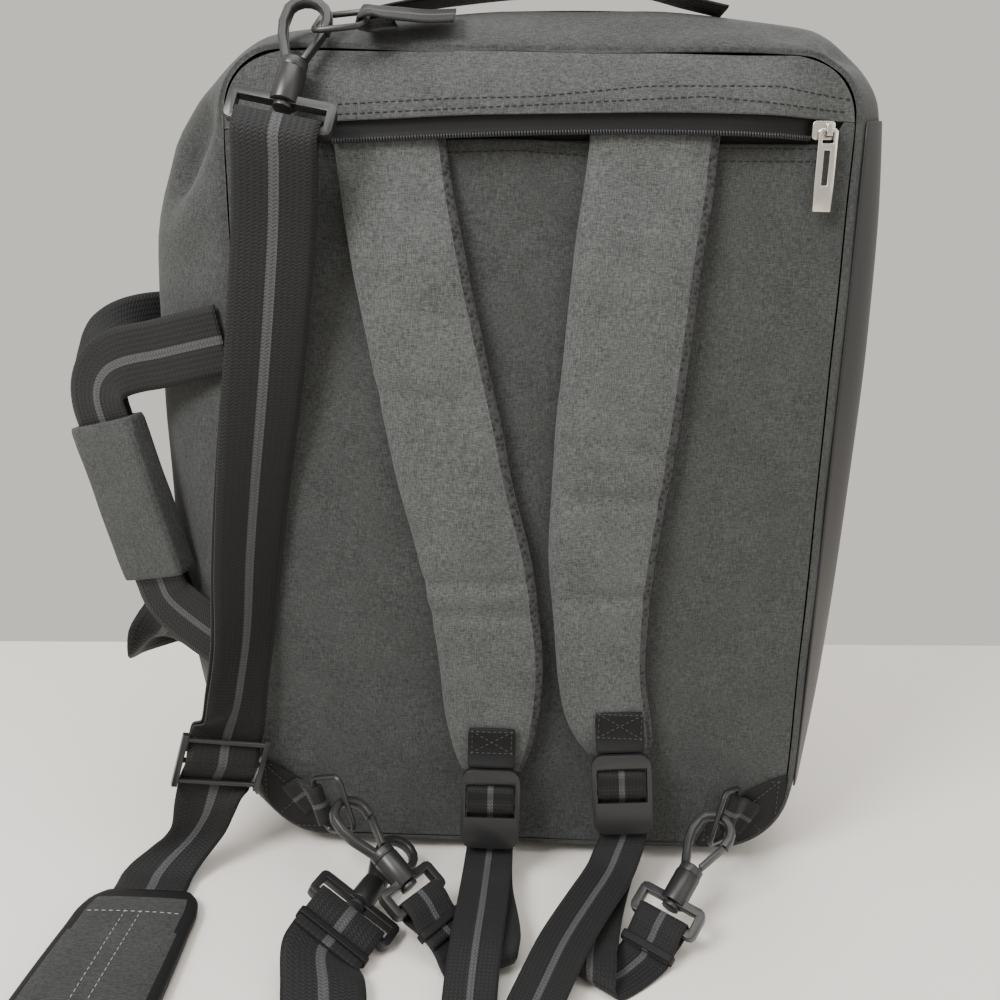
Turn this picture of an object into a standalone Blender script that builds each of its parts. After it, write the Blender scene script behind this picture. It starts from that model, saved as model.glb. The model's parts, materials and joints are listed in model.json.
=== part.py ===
# Convertible backpack, modelled in metres with +Z up.
# The strap side faces -Y, the bag stands on its flat base at z = 0, centred on the origin.
import math

import bpy
import numpy as np
from mathutils import Matrix, Vector

# Driving dimensions of the bag
PANEL_WIDTH = 0.290
PANEL_HEIGHT = 0.406
BAG_DEPTH = 0.080
PANEL_LIFT = 0.010
TOP_RADIUS = 0.028
BOTTOM_RADIUS = 0.038
LEFT_BULGE = 0.049
RIGHT_BULGE = 0.024
TOP_BULGE = 0.022
FRONT_CROWN = 0.006
CLOTH = 0.0025
CLEAR = 0.0003
EDGE_GAP = 0.0006

# Strap pocket on the back
POCKET_CLOTH = 0.002
POCKET_DEPTH = 0.009
PANEL_CROWN = 0.003
WALL_THICKNESS = 0.003
WALL_SLOPE = 0.022
YOKE_HEIGHT = 0.027
YOKE_PROUD = 0.012
YOKE_FLAT_HALF = 0.097
YOKE_FADE = 0.040
LIP_DROP = 0.038
ZIP_LEFT = -0.092
ZIP_RIGHT = 0.124
TAPE_WIDTH = 0.011
TAPE_THICKNESS = 0.0008
COIL_DEPTH = 0.0016
COIL_WIDTH = 0.0022

# Side vinyl, main zip
VINYL_THICKNESS = 0.001
VINYL_FIRST = 5
VINYL_LAST = 14
ZIP_FIRST = 16
ZIP_LAST = 43
ZIP_SHARE = 0.62
MAIN_ZIP_WIDTH = 0.009
MAIN_ZIP_THICKNESS = 0.0012
END_TAB_LENGTH = 0.014
END_TAB_THICKNESS = 0.003

# Webbing and pads
STRAP_WEB = 0.025
SLING_WEB = 0.038
TAB_WEB = 0.020
WEB_THICKNESS = 0.0014
LAYER_GAP = 0.0008
SLING_LAYER_GAP = 0.0020
HANDLE_WEB = 0.034
PAD_WIDTH = 0.057
PAD_THICKNESS = 0.011
SLING_PAD_WIDTH = 0.062
SLING_PAD_LENGTH = 0.230
SLING_PAD_THICKNESS = 0.009
GRIP_LENGTH = 0.086
GRIP_WALL = 0.0022
TOP_HANDLE_DEPTH = 0.39
TAIL_REACH = 0.150
TAB_LENGTH = 0.021
SLING_STUB = 0.006
KEEPER_PLACE = 0.0145
WRAP_CLOSE = 0.0105
SEWN_SHORT = 0.002
KEEPER_LENGTH = 0.004
KEEPER_WALL = 0.0009
SLIDER_REACH = 0.012
SLIDER_BAR = 0.0015
SLIDER_CHEEK = 0.003

# Zip slider and pull
SLIDER_LENGTH = 0.010
SLIDER_HEIGHT = 0.008
SLIDER_DEPTH = 0.0032
CROWN_HALF = 0.0026
CROWN_HOLE = 0.0028
CROWN_WIDTH = 0.0026
PULL_WIDTH = 0.0088
PULL_LENGTH = 0.036
PULL_THICKNESS = 0.0016

# Hook fittings
FRAME_BAR = 0.004
FRAME_SLOT = 0.008
FRAME_DEPTH = 0.005
FRAME_CHEEK = 0.004
BARREL_RADIUS = 0.0065
BARREL_LENGTH = 0.013
BARREL_BORE = 0.0031
PIN_RADIUS = 0.0025
PIN_HEAD_RADIUS = 0.0045
COLLAR_RADIUS = 0.0062
HOOK_REACH = 0.0095
HOOK_HEIGHT = 0.040
HOOK_WIRE = 0.0044
HOOK_DEPTH = 0.0056
GATE_WIRE = 0.0024
RING_WIRE = 0.003
RING_LENGTH = 0.022
RING_CORNER = 0.004
TOP_RING_RISE = 0.11
TOP_RING_LEAN = 0.4
TOP_LOOP_ROOT = (-0.36, -0.26)
TOP_LOOP_LEAN = 0.6
TAB_STEPS = 4
PATCH_GAP = 0.0006
PATCH_THICKNESS = 0.0012

# Ladder locks
LOCK_WIDTH = 0.031
LOCK_LENGTH = 0.043
LOCK_DEPTH = 0.005
LOCK_RAIL = 0.0024
LOCK_TOP = 0.007
LOCK_WINDOW = 0.019
LOCK_ROD = 0.0013
LOCK_PLATE_RISE = 0.003

# Segments in each rounded corner of the panel
CORNER_SIDES = 5

# Frame of the bag worked out from the sizes above
HALF_WIDTH = PANEL_WIDTH / 2
BACK_Y = -BAG_DEPTH / 2
FRONT_Y = BAG_DEPTH / 2
PANEL_TOP = PANEL_LIFT + PANEL_HEIGHT
LIP_Z = PANEL_TOP - LIP_DROP
YOKE_Z = PANEL_TOP - YOKE_HEIGHT

# Bulge of the gusset through the depth: share of the depth from the back seam, share of the bulge
DEPTH_ROWS = [(0.0, 0.0), (0.02, 0.10), (0.08, 0.31), (0.20, 0.68), (0.36, 0.94), (0.54, 1.0),
              (0.72, 0.92), (0.86, 0.70), (0.95, 0.36), (1.0, 0.06)]
# Bulge up the left side: share of the panel height, share of LEFT_BULGE
LEFT_ROWS = [(0.0, 0.20), (0.055, 0.48), (0.18, 0.79), (0.30, 0.93), (0.48, 1.0), (0.68, 1.0),
             (0.78, 0.98), (0.84, 0.92), (0.89, 0.80), (0.93, 0.45), (0.97, 0.24), (1.0, 0.15)]
# Bulge up the right side: share of the panel height, share of RIGHT_BULGE
RIGHT_ROWS = [(0.0, 0.05), (0.05, 0.22), (0.13, 0.58), (0.32, 0.83), (0.5, 0.93), (0.65, 1.0),
              (0.87, 0.92), (0.96, 0.68), (1.0, 0.4)]
# Bulge along the top: share of the half width from the middle, share of TOP_BULGE
TOP_ROWS = [(-1.0, 0.15), (-0.86, 0.42), (-0.55, 0.72), (-0.12, 0.95), (0.30, 1.0), (0.62, 0.86),
            (0.86, 0.68), (1.0, 0.35)]

# Shoulder pads: share of the panel height, centre and width as shares of the half width and PAD_WIDTH,
# thickness as a share of PAD_THICKNESS
LEFT_PAD_ROWS = [(0.973, -0.480, 0.88, 0.45), (0.942, -0.474, 0.90, 0.52), (0.912, -0.464, 0.92, 0.62),
                 (0.890, -0.455, 0.92, 0.64), (0.865, -0.445, 0.92, 0.70), (0.800, -0.415, 0.94, 1.0),
                 (0.700, -0.360, 0.97, 1.0),
                 (0.600, -0.300, 1.0, 1.0), (0.490, -0.232, 1.0, 1.0), (0.400, -0.168, 1.0, 0.94),
                 (0.340, -0.138, 0.97, 1.0), (0.270, -0.112, 0.95, 1.0), (0.205, -0.108, 0.88, 0.98),
                 (0.160, -0.104, 0.76, 0.92), (0.125, -0.104, 0.62, 0.80), (0.112, -0.104, 0.55, 0.62)]
RIGHT_PAD_ROWS = [(0.973, 0.378, 1.0, 0.45), (0.942, 0.376, 1.02, 0.52), (0.912, 0.373, 1.03, 0.62),
                  (0.890, 0.369, 1.03, 0.64), (0.865, 0.364, 1.04, 0.70), (0.780, 0.338, 1.05, 1.0),
                  (0.700, 0.322, 1.05, 1.0),
                  (0.600, 0.300, 1.05, 1.0), (0.500, 0.282, 1.0, 0.95), (0.410, 0.266, 0.93, 1.0),
                  (0.330, 0.272, 0.84, 1.0), (0.245, 0.290, 0.80, 1.0), (0.195, 0.320, 0.78, 0.98),
                  (0.165, 0.345, 0.70, 0.92), (0.148, 0.358, 0.60, 0.78), (0.140, 0.362, 0.55, 0.62)]
# Where the top ends of the pads pass under the yoke: share of YOKE_PROUD that their centre stands out
PAD_TUCK_ROWS = [(0.865, 0.41), (0.890, 0.36), (0.912, 0.335), (0.942, 0.225), (0.973, 0.06)]


def smooth(t):
    t = min(max(t, 0.0), 1.0)
    return t * t * (3 - 2 * t)


def table(rows, t, column=1):
    """Value of a named table's column at t, eased between its rows."""
    if t <= rows[0][0]:
        return rows[0][column]
    for low, high in zip(rows, rows[1:]):
        if t <= high[0]:
            part = (t - low[0]) / (high[0] - low[0])
            return low[column] + (high[column] - low[column]) * part
    return rows[-1][column]


def unit(v):
    return Vector(v).normalized()


def curve_through(points, steps):
    """Smooth curve through rows of numbers: each is a point, with any extra columns after it."""
    rows = [np.array(row, float) for row in points]
    spans = [max(float(np.linalg.norm(b[:3] - a[:3])), 1e-6) for a, b in zip(rows, rows[1:])]
    slopes = [(b - a) / span for a, b, span in zip(rows, rows[1:], spans)]
    tangents = [slopes[0]]
    for i in range(1, len(spans)):
        tangents.append((slopes[i - 1] * spans[i] + slopes[i] * spans[i - 1]) / (spans[i - 1] + spans[i]))
    tangents.append(slopes[-1])
    out = []
    for i, span in enumerate(spans):
        for k in range(steps):
            t = k / steps
            ease = t * t * (3 - 2 * t)
            out.append(rows[i] * (1 - ease) + rows[i + 1] * ease
                       + tangents[i] * span * t * (1 - t) ** 2 - tangents[i + 1] * span * t * t * (1 - t))
    out.append(rows[-1])
    return out


# Materials
def material(name, colour, roughness, metallic=0.0):
    made = bpy.data.materials.new(name)
    made.use_nodes = True
    shader = made.node_tree.nodes["Principled BSDF"]
    shader.inputs["Base Color"].default_value = (*colour, 1.0)
    shader.inputs["Roughness"].default_value = roughness
    shader.inputs["Metallic"].default_value = metallic
    made.diffuse_color = (*colour, 1.0)
    return made


# Mesh builders
def mesh_object(name, verts, faces, finish, smooth_angle=None):
    data = bpy.data.meshes.new(name)
    data.from_pydata([tuple(v) for v in verts], [], faces)
    data.update()
    data.materials.append(finish)
    if smooth_angle is not None:
        data.shade_smooth()
        data.set_sharp_from_angle(angle=smooth_angle)
    made = bpy.data.objects.new(name, data)
    bpy.context.scene.collection.objects.link(made)
    return made


def loft(name, rings, finish, smooth_angle=math.radians(40)):
    """Closed skin through rings of equal length, capped at both ends."""
    count = len(rings[0])
    verts = [v for ring in rings for v in ring]
    faces = []
    for i in range(len(rings) - 1):
        for j in range(count):
            k = (j + 1) % count
            faces.append((i * count + j, i * count + k, (i + 1) * count + k, (i + 1) * count + j))
    faces.append(tuple(reversed(range(count))))
    faces.append(tuple(range((len(rings) - 1) * count, len(rings) * count)))
    made = mesh_object(name, verts, faces, finish, smooth_angle)
    face_outward(made)
    return made


def face_outward(made):
    """Turns a closed mesh's faces outward by the sign of its volume."""
    volume = 0.0
    data = made.data
    for polygon in data.polygons:
        points = [data.vertices[i].co for i in polygon.vertices]
        for i in range(1, len(points) - 1):
            volume += points[0].dot(points[i].cross(points[i + 1]))
    if volume < 0:
        data.flip_normals()


def sheet(name, outer, inner, finish):
    """Closed sheet between two equal grids of points."""
    rows, columns = len(outer), len(outer[0])
    verts = [v for row in outer for v in row] + [v for row in inner for v in row]
    half = rows * columns
    faces = []
    for i in range(rows - 1):
        for j in range(columns - 1):
            a, b = i * columns + j, i * columns + j + 1
            c, d = a + columns, b + columns
            faces.append((a, b, d, c))
            faces.append((half + a, half + c, half + d, half + b))
    edge = [j for j in range(columns)]
    edge += [i * columns + columns - 1 for i in range(1, rows)]
    edge += [(rows - 1) * columns + j for j in range(columns - 2, -1, -1)]
    edge += [i * columns for i in range(rows - 2, 0, -1)]
    for a, b in zip(edge, edge[1:] + edge[:1]):
        faces.append((b, a, half + a, half + b))
    made = mesh_object(name, verts, faces, finish, math.radians(40))
    face_outward(made)
    return made


def prism(name, outline, low, high, finish, place=lambda a, b, c: (a, b, c)):
    """Outline in the first two coordinates, extruded between two values of the third."""
    rings = [[Vector(place(a, b, c)) for a, b in outline] for c in (low, high)]
    return loft(name, rings, finish, None)


def rounded_box(half_a, half_b, radius, steps=3):
    """Outline of a rounded rectangle about the origin."""
    points = []
    for quarter in range(4):
        turn = quarter * math.pi / 2
        ca = (half_a - radius) * (1 if quarter in (0, 3) else -1)
        cb = (half_b - radius) * (1 if quarter in (0, 1) else -1)
        for k in range(steps + 1):
            angle = turn + k * math.pi / 2 / steps
            points.append((ca + radius * math.cos(angle), cb + radius * math.sin(angle)))
    return points


def circle(radius, sides):
    return [(radius * math.cos(2 * math.pi * k / sides), radius * math.sin(2 * math.pi * k / sides))
            for k in range(sides)]


def combine(target, tool, operation):
    """Applies a boolean with another object, which is used up."""
    change = target.modifiers.new("combine", "BOOLEAN")
    change.operation = operation
    change.solver = "EXACT"
    change.object = tool
    bpy.context.view_layer.update()
    graph = bpy.context.evaluated_depsgraph_get()
    result = bpy.data.meshes.new_from_object(target.evaluated_get(graph))
    target.modifiers.clear()
    target.data = result
    bpy.data.objects.remove(tool)
    return target


def sweep(name, path, widths, profile, finish, smooth_angle=math.radians(50), square=True):
    """Profile of (across, out) offsets carried along a path; a square one turns its width square to the path."""
    rings = []
    for i, point in enumerate(path):
        ahead = path[min(i + 1, len(path) - 1)] - path[max(i - 1, 0)]
        along = unit(ahead)
        across = Vector(widths[i])
        across = unit(across - across.dot(along) * along) if square else unit(across)
        out = unit(along.cross(across))
        rings.append([point + across * a + out * b for a, b in profile])
    return loft(name, rings, finish, smooth_angle)


def webbing(name, path, widths, width, finish, square=True):
    """Flat webbing of the common thickness."""
    half, deep = width / 2, WEB_THICKNESS / 2
    profile = [(-half, -deep), (half, -deep), (half, deep), (-half, deep)]
    return sweep(name, path, widths, profile, finish, square=square)


# Outline of the back panel and the bulging gusset
def side_profile(inset):
    """Right side of the panel's outline as rows of height and half width, moved in by an inset."""
    rows = []
    for radius, level, start in ((BOTTOM_RADIUS, PANEL_LIFT + BOTTOM_RADIUS, -math.pi / 2),
                                 (TOP_RADIUS, PANEL_TOP - TOP_RADIUS, 0.0)):
        for k in range(CORNER_SIDES + 1):
            angle = start + k * math.pi / 2 / CORNER_SIDES
            rows.append((level + (radius - inset) * math.sin(angle),
                         HALF_WIDTH - radius + (radius - inset) * math.cos(angle)))
    return rows


def half_width(z, inset=0.0):
    """Half width of the panel at a height, with its rounded corners."""
    return table(side_profile(inset), z)


def panel_outline(grow, sides=CORNER_SIDES, straight_x=7, straight_z=9):
    """Points round the panel, anticlockwise from the lower right, grown outward by a wall."""
    points = []
    corners = [(1, -1, BOTTOM_RADIUS), (1, 1, TOP_RADIUS), (-1, 1, TOP_RADIUS), (-1, -1, BOTTOM_RADIUS)]
    for index, (sx, sz, radius) in enumerate(corners):
        cx = sx * (HALF_WIDTH - radius)
        cz = PANEL_LIFT + radius if sz < 0 else PANEL_TOP - radius
        start = -math.pi / 2 + index * math.pi / 2
        for k in range(sides + 1):
            angle = start + k * math.pi / 2 / sides
            points.append((cx + (radius + grow) * math.cos(angle), cz + (radius + grow) * math.sin(angle)))
        nx, nz, nr = corners[(index + 1) % 4]
        ncx = nx * (HALF_WIDTH - nr)
        ncz = PANEL_LIFT + nr if nz < 0 else PANEL_TOP - nr
        end_angle = start + math.pi / 2
        first = points[-1]
        last = (ncx + (nr + grow) * math.cos(end_angle), ncz + (nr + grow) * math.sin(end_angle))
        steps = straight_z if index % 2 == 0 else straight_x
        for k in range(1, steps):
            share = k / steps
            points.append((first[0] + (last[0] - first[0]) * share, first[1] + (last[1] - first[1]) * share))
    return points


def bulged(x, z, share):
    """Moves a point of the panel outline out by a share of the gusset's bulge."""
    across = max(-1.0, min(1.0, x / HALF_WIDTH))
    up = max(0.0, min(1.0, (z - PANEL_LIFT) / PANEL_HEIGHT))
    side = LEFT_BULGE * table(LEFT_ROWS, up) if across < 0 else -RIGHT_BULGE * table(RIGHT_ROWS, up)
    dx = -side * abs(across) ** 5
    dz = TOP_BULGE * table(TOP_ROWS, across) * max(0.0, 2 * up - 1) ** 6
    dz -= PANEL_LIFT * max(0.0, 1 - 2 * up) ** 8
    return x + dx * share, z + dz * share


def depth_share(y):
    return table(DEPTH_ROWS, (y - BACK_Y) / BAG_DEPTH)


def gusset_ring(y, grow=CLOTH):
    """Outer outline of the bag at a depth; the base is cut flat at the floor."""
    share = depth_share(y)
    ring = [bulged(x, z, share) for x, z in panel_outline(grow)]
    return [Vector((x, y, max(z, 0.0))) for x, z in ring]


def ring_normals(rings):
    """Outward direction at each point of a set of rings along Y."""
    normals = []
    for i, ring in enumerate(rings):
        before, after = rings[max(i - 1, 0)], rings[min(i + 1, len(rings) - 1)]
        row = []
        for j in range(len(ring)):
            along = ring[(j + 1) % len(ring)] - ring[j - 1]
            deep = after[j] - before[j]
            row.append(along.cross(deep).normalized())
        normals.append(row)
    return normals


def outward(rings, normals, distance):
    return [[p + n * distance for p, n in zip(ring, row)] for ring, row in zip(rings, normals)]


def shell_rings():
    return [gusset_ring(BACK_Y + share * BAG_DEPTH) for share, _ in DEPTH_ROWS]


def main_shell(finish):
    outer = shell_rings()
    normals = ring_normals(outer)
    sign = 1 if normals[5][0].x > 0 else -1
    inner = outward(outer, normals, -sign * CLOTH)
    inner[0] = [Vector((x, BACK_Y, z)) for x, z in panel_outline(0.0)]
    inner = [[Vector((p.x, min(p.y, FRONT_Y - CLOTH), max(p.z, CLOTH))) for p in ring] for ring in inner]
    middle = Vector((0, 0, PANEL_LIFT + PANEL_HEIGHT / 2))
    caps = [(0.86, 0.75), (0.45, 0.95), (0.0, 1.0)]
    for rings, back in ((outer, 0.0), (inner, CLOTH)):
        rim = rings[-1]
        for shrink, crown in caps:
            y = FRONT_Y + FRONT_CROWN * crown - back
            rings.append([Vector((middle.x + (p.x - middle.x) * shrink, y,
                                  middle.z + (p.z - middle.z) * shrink)) for p in rim])
    count = len(outer[0])
    verts, faces = [], []
    for rings in (outer, inner):
        start = len(verts)
        for ring in rings[:-1]:
            verts += ring
        verts.append(rings[-1][0])
        for i in range(len(rings) - 2):
            for j in range(count):
                k = (j + 1) % count
                a, b = start + i * count + j, start + i * count + k
                quad = (a, a + count, b + count, b)
                faces.append(quad if rings is outer else tuple(reversed(quad)))
        tip = len(verts) - 1
        last = start + (len(rings) - 2) * count
        for j in range(count):
            fan = (last + j, tip, last + (j + 1) % count)
            faces.append(fan if rings is outer else tuple(reversed(fan)))
    other = (len(outer) - 1) * count + 1
    for j in range(count):
        k = (j + 1) % count
        faces.append((j, k, other + k, other + j))
    made = mesh_object("main_shell", verts, faces, finish, math.radians(35))
    face_outward(made)
    return made


def gusset_band(name, first, last, shares, low, high, finish):
    """Layer that lies on the gusset between two points of the outline and two offsets."""
    rings = [gusset_ring(BACK_Y + share * BAG_DEPTH) for share in shares]
    normals = ring_normals(rings)
    sign = 1 if normals[len(rings) // 2][0].x > 0 else -1
    count = len(rings[0])
    picks = [j % count for j in range(first, last + 1)]
    outer = outward(rings, normals, sign * high)
    inner = outward(rings, normals, sign * low)
    grid_out = [[ring[j] for j in picks] for ring in outer]
    grid_in = [[ring[j] for j in picks] for ring in inner]
    return sheet(name, grid_out, grid_in, finish)


def zip_end_tab(finish):
    """Folded tab over the lower end of the main zip, standing off the corner."""
    ring = gusset_ring(BACK_Y + ZIP_SHARE * BAG_DEPTH)
    before, after = ring[ZIP_LAST - 1], ring[ZIP_LAST]
    run = unit(after - before)
    normal = Vector((run.z, 0, -run.x))
    way = unit((-0.9, 0, -0.42))
    flat = Vector((way.z, 0, -way.x))
    half = END_TAB_THICKNESS / 2
    start = (before + after) / 2 + normal * (MAIN_ZIP_THICKNESS + CLEAR * 2 + half * 0.9)
    outline = [(0, -half), (END_TAB_LENGTH, -half), (END_TAB_LENGTH, half), (0, half)]
    return prism("zip_end_tab", outline, -MAIN_ZIP_WIDTH * 0.6, MAIN_ZIP_WIDTH * 0.6, finish,
                 lambda a, b, c: start + way * a + flat * b + Vector((0, c, 0)))


# Back of the bag
def panel_face(x, z):
    """Depth of the pocket panel's outer face."""
    across = max(-1.0, min(1.0, x / HALF_WIDTH))
    up = max(0.0, min(1.0, (z - PANEL_LIFT) / PANEL_HEIGHT))
    return BACK_Y - PANEL_CROWN * (1 - across ** 2) * math.sin(math.pi * up) ** 2


def lip_height(share):
    """Top edge of the pocket panel: the lip below the zip, raised to the yoke at both ends."""
    end = smooth((abs(share) - 0.935) / 0.03)
    top = yoke_edge(share * HALF_WIDTH) - CLEAR
    return LIP_Z + (top - LIP_Z) * end


def yoke_edge(x):
    """Height of the yoke's lower edge, which arches a little toward the right."""
    across = x / HALF_WIDTH
    return YOKE_Z + YOKE_HEIGHT * (0.20 * math.cos((across - 0.42) * 1.6) - 0.16)


def yoke_out(x):
    """How far the yoke's lower edge stands proud, fading to its ends."""
    return YOKE_PROUD * (1 - smooth((abs(x) - YOKE_FLAT_HALF) / YOKE_FADE))


def corner_rows(top):
    """Heights for a sheet's rows, one at each segment of the rounded lower corners."""
    rows = [z for z, _ in side_profile(EDGE_GAP)[:CORNER_SIDES + 1]]
    steps = 8
    start = rows[-1]
    rows += [start + (top - start) * k / steps for k in range(1, steps + 1)]
    return rows


PANEL_COLUMNS = [-1, -0.965, -0.935, -0.8, -0.6, -0.4, -0.2, 0, 0.2, 0.4, 0.6, 0.8, 0.935, 0.965, 1]


def pocket_panel(finish):
    outer, inner = [], []
    rows = corner_rows(LIP_Z)
    for index, z in enumerate(rows):
        line_out, line_in = [], []
        for share in PANEL_COLUMNS:
            x = share * half_width(z, EDGE_GAP)
            raised = lip_height(share) if index == len(rows) - 1 else z
            y = panel_face(x, z) if index else BACK_Y
            line_out.append(Vector((x, y, raised)))
            line_in.append(Vector((x, y + POCKET_CLOTH, raised)))
        outer.append(line_out)
        inner.append(line_in)
    return sheet("pocket_panel", outer, inner, finish)


def back_wall(finish):
    """Inner wall, joined to the seam all round and set back by the pocket's depth."""
    outer, inner = [], []
    rows = corner_rows(PANEL_TOP - TOP_RADIUS) + [z for z, _ in side_profile(EDGE_GAP)[-CORNER_SIDES:]]
    for z in rows:
        line_out, line_in = [], []
        for share in (-1, -0.93, -0.85, -0.6, -0.3, 0, 0.3, 0.6, 0.85, 0.93, 1):
            x = share * half_width(z, EDGE_GAP)
            edge = min(half_width(z) - abs(x), z - PANEL_LIFT, PANEL_TOP - z)
            y = BACK_Y + POCKET_CLOTH + CLEAR + POCKET_DEPTH * smooth(edge / WALL_SLOPE)
            line_out.append(Vector((x, y, z)))
            line_in.append(Vector((x, y + WALL_THICKNESS, z)))
        outer.append(line_out)
        inner.append(line_in)
    return sheet("back_wall", outer, inner, finish)


def pocket_yoke(finish):
    """Band above the zip: it leaves the top seam and stands over the pads at its lower edge."""
    outer, inner = [], []
    shares = [-1, -0.97, -0.93, -0.86, -0.78, -0.7, -0.45, -0.15, 0.15, 0.45, 0.7, 0.78, 0.86, 0.93, 0.97, 1]
    for step in (0.0, 0.12, 0.35, 0.65, 0.88, 1.0):
        line_out, line_in = [], []
        for share in shares:
            top = PANEL_TOP - EDGE_GAP
            z = top + (yoke_edge(share * HALF_WIDTH) - top) * step
            x = share * half_width(z, EDGE_GAP)
            y = BACK_Y - yoke_out(x) * math.sin(step * math.pi / 2)
            line_out.append(Vector((x, y, z)))
            line_in.append(Vector((x, y + POCKET_CLOTH, z)))
        outer.append(line_out)
        inner.append(line_in)
    return sheet("pocket_yoke", outer, inner, finish)


def zip_tape(name, upper, finish):
    """Tape with its coil along the free edge, following the yoke or the lip."""
    steps = 14
    path, widths = [], []
    for k in range(steps + 1):
        x = ZIP_LEFT + (ZIP_RIGHT - ZIP_LEFT) * k / steps
        if upper:
            lift = yoke_edge(x) - TAPE_WIDTH * 0.35
            y = BACK_Y - yoke_out(x) + POCKET_CLOTH + CLEAR * 3 + TAPE_THICKNESS / 2
        else:
            lift = LIP_Z + TAPE_WIDTH * 0.25
            y = panel_face(x, LIP_Z) + POCKET_CLOTH + CLEAR + TAPE_THICKNESS / 2
        path.append(Vector((x, y, lift)))
        widths.append((0, 0, -1 if upper else 1))
    half, flat = TAPE_WIDTH / 2, TAPE_THICKNESS / 2
    inner = half - COIL_WIDTH
    bump = COIL_DEPTH - flat
    profile = [(-half, -flat), (inner, -flat), (half, -flat), (half, bump), (inner, bump), (inner, flat),
               (-half, flat)]
    if upper:
        profile = [(a, -b) for a, b in profile]
    return sweep(name, path, widths, profile, finish)


def zip_slider(finish):
    """Slider body with a crown that the pull hangs in."""
    x, y, z = slider_place()
    body = rounded_box(SLIDER_LENGTH / 2, SLIDER_HEIGHT / 2, 0.0015)
    face = y - SLIDER_DEPTH
    made = prism("zip_slider", [(a + x, b + z) for a, b in body], face, y, finish,
                 lambda a, b, c: (a, c, b))
    px, py, pz = pull_axis()
    half = CROWN_HALF
    crown = prism("crown", [(py - half, pz - half), (face + PULL_THICKNESS / 2, pz - half - 0.0006),
                            (face + PULL_THICKNESS / 2, pz + half + 0.0006), (py - half, pz + half)],
                  px - CROWN_WIDTH / 2, px + CROWN_WIDTH / 2, finish, lambda a, b, c: (c, a, b))
    combine(made, crown, "UNION")
    hole = CROWN_HOLE / 2
    eye = prism("eye", [(py - hole, pz - hole), (py + hole, pz - hole), (py + hole, pz + hole),
                        (py - hole, pz + hole)], px - SLIDER_LENGTH, px + SLIDER_LENGTH, finish,
                lambda a, b, c: (c, a, b))
    return combine(made, eye, "DIFFERENCE")


def slider_place():
    """Centre of the slider's back face, in front of the closed end of the tapes."""
    x = ZIP_RIGHT + SLIDER_LENGTH / 2 + CLEAR
    return x, BACK_Y - yoke_out(x) - CLEAR * 2, (yoke_edge(x) + LIP_Z) / 2 + 0.0005


def pull_axis():
    x, y, z = slider_place()
    return x + SLIDER_LENGTH * 0.18, y - SLIDER_DEPTH - CROWN_HOLE / 2 - CLEAR, z


def zip_pull(finish):
    """Flat pull with a window for the crown, a long slot and a foot, about its hinge axis."""
    pin = PULL_THICKNESS / 2
    window = CROWN_HALF + 0.0012
    half = PULL_WIDTH / 2
    top = pin
    outline = [(-half, top - 0.0012), (-half + 0.0012, top), (half - 0.0012, top), (half, top - 0.0012),
               (half, -PULL_LENGTH * 0.68), (half * 0.92, -PULL_LENGTH + pin),
               (-half * 0.92, -PULL_LENGTH + pin), (-half, -PULL_LENGTH * 0.68)]
    made = prism("zip_pull", outline, -pin, pin, finish, lambda a, b, c: (a, c, b))
    cuts = [(-CROWN_WIDTH / 2 - 0.0012, CROWN_WIDTH / 2 + 0.0012, -pin - window - 0.0010, -pin),
            (-half * 0.30, half * 0.30, -PULL_LENGTH * 0.66, -PULL_LENGTH * 0.24)]
    for left, right, low, high in cuts:
        slot = prism("slot", [(left, low), (right, low), (right, high), (left, high)], -0.01, 0.01,
                     finish, lambda a, b, c: (a, c, b))
        combine(made, slot, "DIFFERENCE")
    made.location = pull_axis()
    return made


# Shoulder pads
def pad_sections(rows):
    """Centre, half width, thickness and back depth of a pad at each of its rows."""
    sections = []
    for share, centre, width, thick in rows:
        z = PANEL_LIFT + share * PANEL_HEIGHT
        x = centre * HALF_WIDTH
        half, deep = width * PAD_WIDTH / 2, thick * PAD_THICKNESS / 2
        y = panel_face(x, z) - CLEAR * 2.5 - deep
        if share > PAD_TUCK_ROWS[0][0]:
            tuck = table(PAD_TUCK_ROWS, share)
            y = BACK_Y - tuck * YOKE_PROUD
        sections.append((Vector((x, y, z)), half, deep))
    return sections


def shoulder_pad(name, rows, finish):
    rings = []
    for centre, half, deep in pad_sections(rows):
        edge = min(deep * 0.75, 0.004)
        outline = [(-half, 0), (-half + edge, -deep * 0.8), (-half * 0.45, -deep), (half * 0.45, -deep),
                   (half - edge, -deep * 0.8), (half, 0), (half - edge, deep), (-half + edge, deep)]
        rings.append([centre + Vector((a, b, 0)) for a, b in outline])
    return loft(name, rings, finish)


# Ladder locks, each in a frame: across, out of the bag, up
def pad_front(rows):
    """Foremost depth of a pad's last rows."""
    return min(centre.y - deep for centre, _, deep in pad_sections(rows)[-5:])


def lock_frame(rows, lean, turn):
    """Frame at the middle of the lock's top edge, in front of the pad's tip."""
    across = Vector((-math.cos(turn), 0, -math.sin(turn)))
    up = Vector((-math.sin(turn) * math.cos(lean), -math.sin(lean), math.cos(turn) * math.cos(lean)))
    tip = pad_sections(rows)[-1][0]
    front = pad_front(rows) - CLEAR * 4 - WEB_THICKNESS - LOCK_DEPTH / 2
    matrix = Matrix((across, up.cross(across), up)).transposed().to_4x4()
    matrix.translation = Vector((tip.x, front, tip.z + LOCK_TOP * 1.2))
    return matrix


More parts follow.
